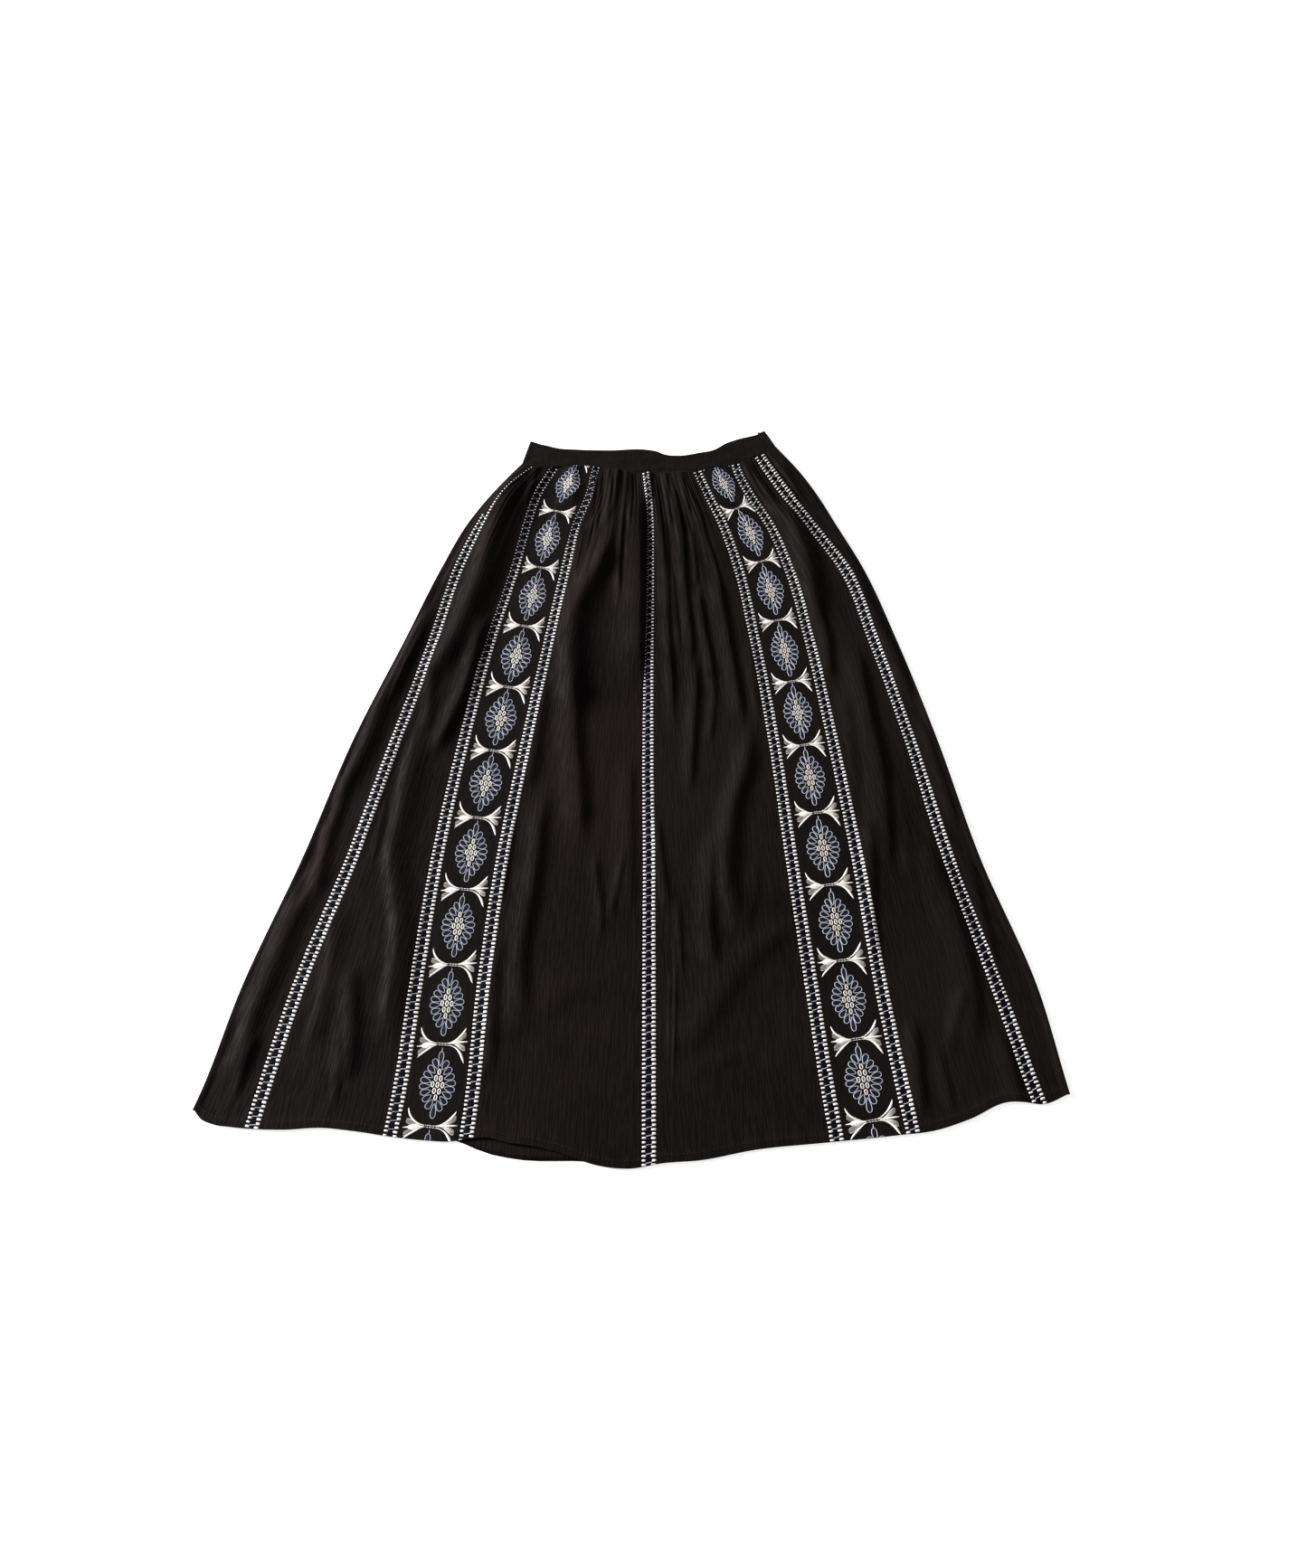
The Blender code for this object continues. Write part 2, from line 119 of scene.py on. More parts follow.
# The front's pieces from left to right, with their gathers and the widths that they are cut to
FRONT_PIECES = (
    # node, gathers, their height, how far they run, unevenness, cut width at waist, cut width at hem
    ("front_side_left", 3, 1.4, 70, 0.25, 34, 92),
    ("front_left", 6, 1.2, 80, 0.35, 66, 160),
    ("band_left", 2, 1.0, 50, 0.20, 82, 88),
    ("front_centre_left", 16, 0.95, 80, 0.35, 128, 206),
    ("front_centre_right", 18, 0.95, 80, 0.30, 132, 218),
    ("band_right", 2, 1.0, 50, 0.20, 82, 88),
    ("front_right", 6, 1.1, 70, 0.30, 70, 162),
    ("front_side_right", 3, 1.3, 70, 0.25, 46, 62),
)
NODES, *COLUMNS = zip(*FRONT_PIECES)
GATHERS, GATHER_HEIGHTS, GATHER_RUNS, UNEVENNESS, CUT_AT_WAIST, CUT_AT_HEM = np.array(COLUMNS, float)
BANDS = ("band_left", "band_right")
BAND_NUMBERS = [NODES.index(node) for node in BANDS]

# How the gathers rise from the waist seam, fall off below it and differ from each other
GATHER_START = 0.35
GATHER_RISE = 28.0
GATHER_FALL = 1.4
GATHER_SHORTEST = 0.75
GATHER_LONGER = 0.45
GATHER_SPREAD = 0.22
GATHER_WAVES = 2.3
GATHER_PASSES = 8

# Folds, each a ridge along its points, or a trough where its height is negative. The light comes
# from the left, so a narrow right flank makes a dark line and a narrow left flank a bright one.
FOLDS = (
    # name, height, width of the left flank, of the right flank, then x and below of its points
    ("left edge upper ridge", 2.4, 8, 9, (-190, 40), (-222, 115), (-252, 190)),
    ("left side upper ridge", 6.0, 10, 13, (-258, 195), (-281, 245), (-300, 300), (-318, 350),
     (-331, 400), (-343, 440), (-355, 480)),
    ("left side middle ridge", 4.2, 10, 10, (-345, 425), (-357, 480), (-368, 530), (-374, 580),
     (-376, 620)),
    ("left side lower ridge", 5.2, 17, 14, (-382, 570), (-392, 610), (-405, 650), (-418, 700),
     (-433, 750), (-443, 800), (-453, 845)),
    ("left gore ridge", 11.2, 16, 20, (-148, -25), (-167, 25), (-180, 60), (-190, 100), (-197, 135),
     (-201, 160), (-213, 200), (-228, 250), (-246, 290), (-262, 335)),
    ("left gore inner ridge", 6.2, 11, 9, (-190, 215), (-202, 265), (-209, 300), (-217, 335),
     (-228, 368), (-241, 405), (-249, 430)),
    ("left gore upper tuck", 3.0, 8, 9, (-257, 285), (-259, 330), (-258, 365), (-264, 400)),
    ("left gore long ridge", 5.6, 9, 19, (-262, 355), (-270, 400), (-278, 450), (-286, 520),
     (-290, 550), (-286, 590), (-277, 630), (-275, 680), (-279, 740), (-283, 800)),
    ("left gore ladder ridge", 2.4, 9, 10, (-284, 365), (-305, 440), (-321, 510), (-333, 560)),
    ("left gore low ridge", 4.4, 14, 11, (-327, 690), (-322, 740), (-319, 780), (-320, 835)),
    ("left gore hem ridge", 3.0, 9, 15, (-352, 610), (-350, 680), (-357, 750), (-368, 800)),
    ("left centre inner pleat", 4.6, 13, 7, (-26, -25), (-29, 40), (-32, 90), (-40, 135), (-53, 175)),
    ("left centre broad ridge", 9.8, 17, 18, (-38, 90), (-47, 140), (-61, 175), (-76, 210), (-81, 240),
     (-81, 285), (-78, 335), (-74, 375)),
    ("left centre long ridge", 5.6, 20, 11, (-82, 290), (-77, 345), (-75, 400), (-70, 445), (-66, 500),
     (-64, 550)),
    ("left centre pleat", 2.8, 7, 3.2, (-15, -20), (-17, 50), (-20, 110), (-22, 155), (-21, 210)),
    ("left centre ladder ridge", 3.4, 12, 10, (-110, 310), (-118, 365), (-125, 420), (-132, 475)),
    ("left centre low ridge", 4.6, 15, 11, (-106, 455), (-114, 510), (-117, 560), (-121, 600),
     (-128, 640), (-131, 680), (-129, 730), (-127, 780)),
    ("left centre edge ridge", 2.6, 10, 8, (-152, 640), (-160, 700), (-161, 760), (-160, 830)),
    ("ridge left of the centre", 7.0, 24, 8.5, (2, 15), (3.5, 80), (5, 180), (5, 330)),
    ("low ridge left of the centre", 2.4, 15, 8, (-6, 420), (-6, 500), (-5, 560), (-4, 640)),
    ("centre ladder turn", 3.6, 6, 3.0, (16, -30), (16.5, 10), (19, 52)),
    ("right centre pleat a", 3.1, 9, 5, (25, -20), (28, 50), (33, 90), (37, 130), (40, 180), (42, 250),
     (45, 300), (47, 345), (47, 400)),
    ("right centre pleat c", 3.3, 10, 5, (49, -10), (55, 60), (61, 100), (63, 150), (65, 190),
     (69, 230), (71, 265), (70, 320)),
    ("right centre pleat d", 4.0, 12, 7, (103, 160), (109, 200), (115, 230), (120, 270), (126, 310),
     (131, 350), (134, 390)),
    ("right centre pleat f", 3.1, 9, 5, (81, 175), (85, 220), (90, 255), (96, 290), (99, 340)),
    ("right centre pleat g", 3.2, 9, 6, (78, 275), (76, 340), (73, 390), (70, 430), (69, 480)),
    ("right centre upper ridge", 6.2, 14, 13, (143, 370), (139, 420), (135, 445), (126, 470),
     (118, 500), (114, 540), (113, 580), (117, 620), (121, 665)),
    ("right centre low ridge", 4.0, 13, 9, (97, 520), (92, 560), (90, 590), (88, 630), (89, 660),
     (95, 705)),
    ("right centre slant", 3.4, 26, 13, (190, 630), (172, 650), (130, 690), (98, 735), (75, 770),
     (60, 800)),
    ("right gore top tuck", 3.0, 8, 4.5, (148, -30), (157, 0), (175, 30), (187, 58), (203, 88)),
    ("right gore ridge", 8.2, 13, 14, (180, 35), (197, 58), (211, 85), (218, 110), (225, 140),
     (229, 170), (232, 200), (237, 230)),
    ("right gore inner ridge", 4.2, 12, 8, (233, 195), (238, 225), (244, 250), (246, 285), (246, 325)),
    ("right gore broad ridge", 5.4, 20, 10, (281, 250), (286, 310), (290, 350), (295, 390), (301, 430),
     (303, 470), (304, 520), (302, 590)),
    ("right gore low ridge", 3.2, 10, 8, (284, 500), (283, 560), (281, 600), (279, 640), (281, 700)),
    ("right gore ladder ridge", 4.4, 22, 12, (343, 520), (362, 585), (376, 630), (385, 680),
     (388, 720), (387, 760), (386, 810)),
    ("right gore hem ridge", 3.6, 11, 9, (318, 750), (319, 810), (321, 870)),
    ("right corner ridge", 3.2, 14, 9, (414, 765), (424, 810), (432, 860)),
    ("right side ridge", 4.4, 12, 10, (268, 110), (284, 150), (300, 200), (318, 250), (336, 305),
     (352, 360)),
    ("right side middle ridge", 2.6, 9, 9, (358, 370), (366, 410), (379, 470), (390, 530)),
    ("right side low ridge", 2.2, 8, 7, (396, 550), (405, 600), (412, 645), (420, 700)),
)
CREASES = (
    # the same for the creases too fine for the solids
    ("left edge hollow a", -1.6, 5, 5, (-349, 418), (-353, 438), (-359, 458)),
    ("left edge hollow b", -1.8, 5, 5, (-363, 482), (-367, 500), (-372, 518)),
    ("left edge hollow c", -1.5, 5, 5, (-376, 534), (-380, 552), (-386, 572)),
    ("left edge hollow d", -1.4, 5, 6, (-388, 584), (-392, 600), (-398, 618)),
    ("left edge hollow e", -2.2, 7, 7, (-446, 750), (-451, 778), (-458, 808)),
    ("left edge tuck", 1.6, 4, 4, (-270, 240), (-292, 300), (-308, 350)),
    ("left corner tuck", 2.0, 7, 6, (-425, 770), (-434, 800), (-444, 850)),
    ("left gore hem trough", -1.4, 5, 5, (-371, 745), (-377, 780), (-387, 830)),
    ("left gore hem tuck", 1.5, 6, 5, (-337, 765), (-332, 805), (-331, 860)),
    ("left gore small tuck", 1.3, 5, 4, (-300, 480), (-306, 520), (-314, 570)),
    ("left gather a", 2.0, 8, 3.2, (-57, -15), (-58, 40), (-61, 80)),
    ("left gather b", 1.8, 7, 2.8, (-48, -10), (-50, 50), (-55, 100)),
    ("left gather c", 2.1, 8, 3.2, (-37, -15), (-36, 45), (-41, 95)),
    ("left gather d", 1.5, 5, 4, (-8, -10), (-9, 40), (-9, 90)),
    ("left gore gather", 1.8, 5, 4, (-133, -20), (-141, 20), (-150, 60)),
    ("left slant a", 1.5, 7, 2.8, (-44, 65), (-53, 110), (-63, 148), (-72, 180)),
    ("left slant b", 1.4, 7, 2.8, (-57, 65), (-64, 110), (-73, 150), (-80, 180)),
    ("left slant c", 1.3, 6, 2.8, (-67, 85), (-74, 125), (-82, 165)),
    ("left centre dent", 1.8, 7, 5, (-48, 545), (-43, 590), (-38, 622), (-41, 668)),
    ("left centre dent side", 1.6, 6, 4, (-13, 548), (-18, 588), (-29, 640)),
    ("left centre soft trough", -1.2, 9, 9, (-92, 560), (-96, 620), (-99, 690)),
    ("left edge of the low gore", 2.0, 8, 6, (-146, 500), (-152, 555), (-158, 620)),
    ("left hem slant", 1.6, 30, 16, (-40, 700), (-100, 742), (-160, 785)),
    ("left hem hollow", -1.0, 12, 9, (-14, 790), (-20, 820), (-22, 860)),
    ("band left hollow", -3.4, 10, 9, (-106, -25), (-108, 15), (-117, 48), (-130, 90), (-141, 140)),
    ("band left low hollow", -1.5, 6, 6, (-234, 580), (-237, 630), (-241, 690)),
    ("band left puff", 3.0, 10, 9, (-85, -22), (-83, 18), (-91, 58)),
    ("right gather b", 1.9, 7, 2.8, (38, -15), (41, 20), (43, 55), (48, 95)),
    ("right gather c", 1.6, 6, 2.6, (60, -15), (64, 25), (72, 70)),
    ("right gather d", 2.1, 9, 3.2, (62, -10), (67, 20), (82, 60), (94, 110), (105, 150), (112, 190),
     (119, 230)),
    ("right gather e", 1.7, 7, 2.8, (48, 150), (51, 200), (54, 240), (58, 285)),
    ("right gather f", 1.4, 6, 2.8, (74, 90), (78, 130), (80, 180)),
    ("right gather g", 2.0, 6, 5, (101, 315), (98, 360), (92, 410)),
    ("right centre soft fold", 1.4, 7, 5, (147, 250), (150, 310), (156, 380)),
    ("right centre notch", 2.3, 8, 6, (27, 500), (31, 550), (36, 590), (41, 630)),
    ("right centre low tuck", 1.5, 5, 4, (52, 605), (54, 660), (57, 715)),
    ("right centre side tuck", 1.6, 9, 6, (106, 520), (108, 570), (107, 620)),
    ("right centre soft ridge", 1.8, 12, 8, (146, 560), (141, 610), (128, 660)),
    ("right centre tuck", 1.3, 2.4, 2.0, (50, 670), (48, 748), (46, 830)),
    ("right centre second tuck", 1.0, 2.2, 1.8, (44, 690), (42, 754), (41, 812)),
    ("right hem slant", 1.4, 15, 9, (130, 790), (96, 806), (66, 826)),
    ("right gore small tuck", 2.0, 7, 6, (383, 715), (368, 752), (358, 795)),
    ("right gore hem tuck", 1.8, 8, 6, (345, 790), (350, 826), (357, 868)),
    ("right gore soft fold", 1.6, 10, 7, (262, 330), (268, 400), (272, 480)),
    ("right gore light fold", 1.5, 9, 9, (322, 450), (326, 520), (330, 590)),
    ("right side top tuck", 1.8, 8, 5, (196, -25), (206, 5), (222, 45)),
)
# The share of a fold's length over which each of its ends fades
FOLD_END_FADE = 0.2

# How much the front swells over the air under it at the waist and at the hem, how softly it
# settles, and how it comes down to the side folds
SWELL_AT_WAIST = 1.6
SWELL_REACH = 260.0
SWELL_AT_HEM = 0.1
SETTLE = 0.35
EDGE_FADE = 11.0
EDGE_FLAT = 0.15
FRONT_LOWEST = WALL + LAYER_GAP
WAISTBAND_LOWEST = WAISTBAND_WALL + LAYER_GAP
BACK_INSET = FOLD_INSET + TURN_UNDER + SIDE_GAP
# How much the waistband swells towards its seam, and its long ripple
WAISTBAND_SWELL = 0.8
RIPPLE = 0.4
RIPPLE_LENGTHS = (23, 61)

# Small wrinkles along the grain: three sizes, each with a height, a width, a length and a draw
WRINKLES = (
    (0.22, 11.0, 150.0, 11),
    (0.09, 5.2, 110.0, 23),
    (0.035, 2.9, 60.0, 29),
)
# Wrinkles are this much deeper in the gathers, which reach this far down, and this share as
# deep on the flower bands
GATHERED_MORE = 3.2
GATHERED_REACH = 120.0
BAND_CALM = 0.35
# How far apart on the draws two neighbouring pieces are cut
DRAW_SHIFT = 97.0
# The stitching keeps the cloth smooth for this far from a ladder's middle
STITCHED_SMOOTH = 11.0
# The waistband's own wrinkles, above its swell
WAISTBAND_WRINKLES = (
    (0.65, 30.0, 8.0, 31),
    (0.32, 10.0, 5.5, 37),
)
# The shares of its depth, at its top and at its seam, over which those wrinkles fade
WAISTBAND_CALM = (0.15, 0.1)
# How many wrinkles of a draw there are before they repeat
LATTICE = 64

# How fine the cloth is: one column to so many millimetres of hem, and rows down the skirt
COLUMN_WIDTH = 1.75
ROWS = 150
ROW_CROWDING = 1.25
HEM_ROWS = (11.4, 10.8, 10.2, 9.6, 7.0, 3.0, 0.8, 0.0)
ROLL_STEPS = 9
BACK_COLUMNS = 90
# The hidden back keeps one row in so many
BACK_ROW_STEP = 2
LINING_ROWS = 8
WAISTBAND_COLUMNS = 240
WAISTBAND_ROWS = 22

# How closely meeting points are found, places are read and slopes are taken
MEETING_TRIES = 14
PLACE_STEPS = 1600
SLOPE_STEP = 0.4

FLOOR_SIDE = 9.0
FLOOR_DROP = 0.0004


# Reading the tables

def smooth_step(share):
    """From 0 to 1, level at both ends."""
    share = np.clip(share, 0.0, 1.0)
    return share * share * (3.0 - 2.0 * share)


def smooth_read(stations, values, at):
    """Reads a table at any place along it, on a smooth curve through its rows."""
    stations = np.asarray(stations, float)
    values = np.asarray(values, float)
    slopes = np.gradient(values, stations)
    at = np.clip(at, stations[0], stations[-1])
    row = np.clip(np.searchsorted(stations, at) - 1, 0, len(stations) - 2)
    span = stations[row + 1] - stations[row]
    t = (at - stations[row]) / span
    blend = smooth_step(t)
    start_pull = t * (1 - t) ** 2 * span * slopes[row]
    end_pull = t * t * (t - 1) * span * slopes[row + 1]
    return values[row] * (1 - blend) + values[row + 1] * blend + start_pull + end_pull


def read_curve(curve, x):
    """The level of a curve such as the hem at x."""
    return smooth_read(*zip(*curve), x)


def line_x(line, below):
    """x of one of LINES at the levels given."""
    return smooth_read([row[0] for row in SECTIONS], [row[line + 1] for row in SECTIONS], below)


def lines_at(below, inset):
    """x of every line at the levels given, with the side folds taken in by the inset."""
    lines = np.array([line_x(line, below) for line in range(len(LINES))])
    lines[0] += inset
    lines[-1] -= inset
    return lines


def across_x(place, below, inset):
    """x at a place across the front."""
    piece = np.clip(np.floor(place), 0, LAST_LINE - 1).astype(int)
    lines = lines_at(below, inset)
    left = np.take_along_axis(lines, piece[None], 0)[0]
    right = np.take_along_axis(lines, piece[None] + 1, 0)[0]
    return left + (right - left) * (place - piece)


def level_on(curve, x_at_level, shape):
    """The level at which a line, given as x at each level, meets a curve such as the hem."""
    below = np.full(shape, float(curve[len(curve) // 2][1]))
    for _ in range(MEETING_TRIES):
        below = (below + read_curve(curve, x_at_level(below))) / 2
    return below


def waistband_end_x(end, below):
    """x of the waistband's left (0) or right (1) end, which runs on into the skirt's side fold."""
    top_x, top, seam = WAISTBAND_ENDS[end]
    line = LAST_LINE * end
    seam_x = line_x(line, seam)
    upper = top_x + (seam_x - top_x) * (below - top) / (seam - top)
    return np.where(below < seam, upper, line_x(line, below))


def waistband_x(share, below, inset):
    """x at a share of the waistband's width, with both ends taken in by the inset."""
    left = waistband_end_x(0, below) + inset
    right = waistband_end_x(1, below) - inset
    return left + (right - left) * share


def laid_out(x, below, height):
    """Points of the skirt in the frame, from x, below and height."""
    return np.stack([x, SEAM_LEVEL - below, height], axis=-1)


PLACES = np.linspace(0, LAST_LINE, PLACE_STEPS + 1)
SEAM_LEVELS = level_on(WAIST_SEAM, lambda level: across_x(PLACES, level, FOLD_INSET), PLACES.shape)
HEM_LEVELS = level_on(FRONT_HEM, lambda level: across_x(PLACES, level, FOLD_INSET), PLACES.shape)


# The height of the front

def soft_noise(u, v, draw):
    """Smooth random values from -1 to 1 over a plane, the same each run."""
    lattice = np.random.default_rng(draw).uniform(-1, 1, (LATTICE, LATTICE))
    column = np.floor(u).astype(int)
    row = np.floor(v).astype(int)
    s = smooth_step(u - column)
    t = smooth_step(v - row)
    left, right = column % LATTICE, (column + 1) % LATTICE
    upper = lattice[row % LATTICE, left] * (1 - s) + lattice[row % LATTICE, right] * s
    lower = lattice[(row + 1) % LATTICE, left] * (1 - s) + lattice[(row + 1) % LATTICE, right] * s
    return upper * (1 - t) + lower * t


def before_gathering(piece, share):
    """Where a share of a piece lies before its gathers are unevenly spaced."""
    even = share
    for _ in range(GATHER_PASSES):
        even = share - UNEVENNESS[piece] * np.sin(2 * math.pi * even + piece) * even * (1 - even)
    return np.clip(even, 0, 1)


def gather_height(piece, share, depth):
    """Height of the gathers at a share of a piece and a depth below the waist seam."""
    count = GATHERS[piece]
    share = before_gathering(piece, share)
    rise = GATHER_START + (1 - GATHER_START) * smooth_step(depth / GATHER_RISE)
    longer = GATHER_LONGER * np.sin(math.pi * count * share / 2 + piece) ** 2
    own_run = GATHER_RUNS[piece] * (GATHER_SHORTEST + longer)
    fall = np.exp(-(np.clip(depth - GATHER_RISE, 0, None) / own_run) ** GATHER_FALL)
    wave = np.sin(2 * math.pi * GATHER_WAVES * share + piece)
    own_height = GATHER_HEIGHTS[piece] * (1 - GATHER_SPREAD + GATHER_SPREAD * wave)
    return own_height * rise * fall * (1 - np.cos(2 * math.pi * count * share)) / 2


def fold_height(x, below):
    """The sum of the folds and creases at a point of the front."""
    total = np.zeros(x.shape)
    for _, height, left_width, right_width, *path in FOLDS + CREASES:
        levels = [point[1] for point in path]
        near = (below > levels[0]) & (below < levels[-1])
        level = below[near]
        along = (level - levels[0]) / (levels[-1] - levels[0])
        crest = smooth_read(levels, [point[0] for point in path], level)
        slant = (path[-1][0] - path[0][0]) / (levels[-1] - levels[0])
        offset = (x[near] - crest) / math.hypot(1.0, slant)
        width = np.where(offset < 0, left_width, right_width)
        fade = smooth_step(along / FOLD_END_FADE) * smooth_step((1 - along) / FOLD_END_FADE)
        total[near] += height * fade * np.exp(-(offset / width) ** 2)
    return total


def cut_across(piece, share, depth, length):
    """How far across its flat cut a point of a piece lies, from the cut's middle."""
    top, bottom = CUT_AT_WAIST[piece], CUT_AT_HEM[piece]
    return (share - 0.5) * (top + (bottom - top) * np.clip(depth / length, 0, 1))


def wrinkle_height(piece, share, depth, length, to_stripe):
    """The small wrinkles that run along the grain."""
    across = cut_across(piece, share, depth, length) + DRAW_SHIFT * piece
    deeper = 1 + GATHERED_MORE * np.exp(-(depth / GATHERED_REACH) ** 2)
    calm = np.where(np.isin(piece, BAND_NUMBERS), BAND_CALM, 1.0)
    smooth = 1 - np.exp(-(to_stripe / STITCHED_SMOOTH) ** 2)
    total = sum(height * soft_noise(across / width, depth / run + piece, draw)
                for height, width, run, draw in WRINKLES)
    return total * deeper * calm * smooth


def front_height(x, below):
    """Height of the middle of the front's cloth, with its folds, gathers, wrinkles and hem."""
    lines = lines_at(below, FOLD_INSET)
    piece = np.clip((x >= lines[1:-1]).sum(0), 0, LAST_LINE - 1)
    left = np.take_along_axis(lines, piece[None], 0)[0]
    right = np.take_along_axis(lines, piece[None] + 1, 0)[0]
    share = np.clip((x - left) / (right - left), 0, 1)
    seam = np.interp(piece + share, PLACES, SEAM_LEVELS)
    hem = np.interp(piece + share, PLACES, HEM_LEVELS)
    depth = np.clip(below - seam, 0, None)
    to_stripe = np.abs(x - lines[1:-1]).min(0)
    swell = SWELL_AT_HEM + (SWELL_AT_WAIST - SWELL_AT_HEM) * np.exp(-(depth / SWELL_REACH) ** 2)
    raised = swell + fold_height(x, below) + gather_height(piece, share, depth)
    raised = raised + wrinkle_height(piece, share, depth, hem - seam, to_stripe)
    settled = SETTLE * np.log1p(np.exp(raised / SETTLE))
    turned_up = HEM_RISE * smooth_step((below - hem + HEM_DEPTH + HEM_STEP) / HEM_STEP)
    height = FRONT_LOWEST + WALL - CLOTH / 2 + settled + turned_up
    fold_top = side_fold(0.0, CLOTH)[1]
    room = np.minimum(x - line_x(0, below), line_x(LAST_LINE, below) - x) / EDGE_FADE
    nearness = 1 - smooth_step((room - EDGE_FLAT) / (1 - EDGE_FLAT))
    return height + (fold_top - height) * nearness


def side_fold(share, wall):
    """The mid-surface where cloth folds round to the back, in from its outermost point and up.

    share is 0 at the top of the fold and 1 at the end of the cloth turned under it.
    """
    angle = math.pi * np.clip(share / ROLL_SHARE, 0, 1)
    flat = np.clip((share - ROLL_SHARE) / (1 - ROLL_SHARE), 0, 1)
    radius = FOLD_INSET - wall / 2
    inward = FOLD_INSET - radius * np.sin(angle) + TURN_UNDER * flat
    height = wall / 2 + radius * (1 + np.cos(angle))
    return inward, height


def on_front(x, below, lift):
    """Points at a lift above the front's upper side, square to it."""
    height = front_height(x, below)
    slope_x = (front_height(x + SLOPE_STEP, below) - height) / SLOPE_STEP
    slope_down = (front_height(x, below + SLOPE_STEP) - height) / SLOPE_STEP
    outward = np.stack([-slope_x, slope_down, np.ones(x.shape)], axis=-1)
    outward /= np.linalg.norm(outward, axis=-1, keepdims=True)
    return laid_out(x, below, height) + outward * (CLOTH / 2 + lift)[..., None]


# Materials

def new_group(name, inputs, outputs):
    """A node group with named number inputs and outputs, and the sockets of its input and output nodes."""
    group = bpy.data.node_groups.new(name, "ShaderNodeTree")
    for label, value in inputs.items():
        kind = "NodeSocketVector" if value is None else "NodeSocketFloat"
        socket = group.interface.new_socket(label, in_out="INPUT", socket_type=kind)
        if value is not None:
            socket.default_value = value
    for label in outputs:
        group.interface.new_socket(label, in_out="OUTPUT", socket_type="NodeSocketFloat")
    return group, group.nodes.new("NodeGroupInput").outputs, group.nodes.new("NodeGroupOutput").inputs


def feed(tree, socket, value):
    """Links a node's output to a socket, or sets the socket to a number or a colour."""
    if isinstance(value, bpy.types.NodeSocket):
        tree.links.new(value, socket)
    elif value is not None:
        socket.default_value = value


def maths(tree, operation, first, second=None, third=None):
    """One step of reckoning on values that change over the surface."""
    node = tree.nodes.new("ShaderNodeMath")
    node.operation = operation
    for socket, value in zip(node.inputs, (first, second, third)):
        feed(tree, socket, value)
    return node.outputs[0]


def blend_range(tree, value, low, high, to_low=0.0, to_high=1.0):
    """Brings a value from one range to another, smoothly at both ends."""
    node = tree.nodes.new("ShaderNodeMapRange")
    node.interpolation_type = "SMOOTHSTEP"
    for socket, number in zip(node.inputs, (value, low, high, to_low, to_high)):
        feed(tree, socket, number)
    return node.outputs[0]


def stretched(tree, vector, across, along):
    """The cut's map in pattern units, so many metres across and along to each."""
    split = tree.nodes.new("ShaderNodeSeparateXYZ")
    tree.links.new(vector, split.inputs[0])
    join = tree.nodes.new("ShaderNodeCombineXYZ")
    feed(tree, join.inputs[0], maths(tree, "DIVIDE", split.outputs[0], across))
    feed(tree, join.inputs[1], maths(tree, "DIVIDE", split.outputs[1], along))
    return join.outputs[0]


def noise(tree, vector, detail, roughness=0.5, distortion=0.0):
    """Soft noise, one patch to each pattern unit."""
    node = tree.nodes.new("ShaderNodeTexNoise")
    node.noise_dimensions = "2D"
    tree.links.new(vector, node.inputs["Vector"])
    node.inputs["Scale"].default_value = 1.0
    node.inputs["Detail"].default_value = detail
    node.inputs["Roughness"].default_value = roughness
    node.inputs["Distortion"].default_value = distortion
    return node.outputs["Fac"]


def crinkle_group():
    """Fine broken ridges along the grain, as twisted yarn pulls crepe into, and a tone that paints shade into
    their hollows and light onto their ridges.
    """
    group, given, result = new_group(
        "lengthwise crinkle", {"Cut": None, "Pitch": 0.0026, "Run": 0.03}, ("Height", "Tone"))
    coarse = noise(group, stretched(group, given["Cut"], given["Pitch"], given["Run"]), 2.0, 0.55, 0.35)
    half = maths(group, "MULTIPLY", given["Pitch"], 0.45)
    half_run = maths(group, "MULTIPLY", given["Run"], 0.4)
    fine = noise(group, stretched(group, given["Cut"], half, half_run), 1.0)
    ridges = blend_range(group, coarse, 0.34, 0.66)
    height = maths(group, "MULTIPLY_ADD", fine, 0.35, maths(group, "MULTIPLY", ridges, 0.65))
    feed(group, result["Height"], height)
    # The tone paints shade in the crinkle's hollows and light on its ridges
    feed(group, result["Tone"], blend_range(group, height, 0.25, 0.85))
    return group


def weave_group():
    """Threads over and under each other, with slubs."""
    group, given, result = new_group("fine weave", {"Cut": None, "Thread": 0.0006}, ("Height",))
    turned = maths(group, "MULTIPLY", given["Thread"], 2.0)
    plain = stretched(group, given["Cut"], turned, turned)
    split = group.nodes.new("ShaderNodeSeparateXYZ")
    group.links.new(plain, split.inputs[0])
    across = maths(group, "SINE", maths(group, "MULTIPLY", split.outputs[0], 2 * math.pi))
    along = maths(group, "SINE", maths(group, "MULTIPLY", split.outputs[1], 2 * math.pi))
    slub = maths(group, "MULTIPLY", turned, 6.0)
    slubs = noise(group, stretched(group, given["Cut"], slub, turned), 1.0)
    height = maths(group, "MULTIPLY_ADD", maths(group, "MULTIPLY", across, along), 0.35, slubs)
    feed(group, result["Height"], height)
    return group


def wear_group():
    """Broad soft patches where handling and light have changed the cloth."""
    group, given, result = new_group("soft wear", {"Cut": None, "Patch": 0.02}, ("Tone",))
    patches = noise(group, stretched(group, given["Cut"], given["Patch"], given["Patch"]), 3.0, 0.6)
    feed(group, result["Tone"], blend_range(group, patches, 0.3, 0.7))
    return group


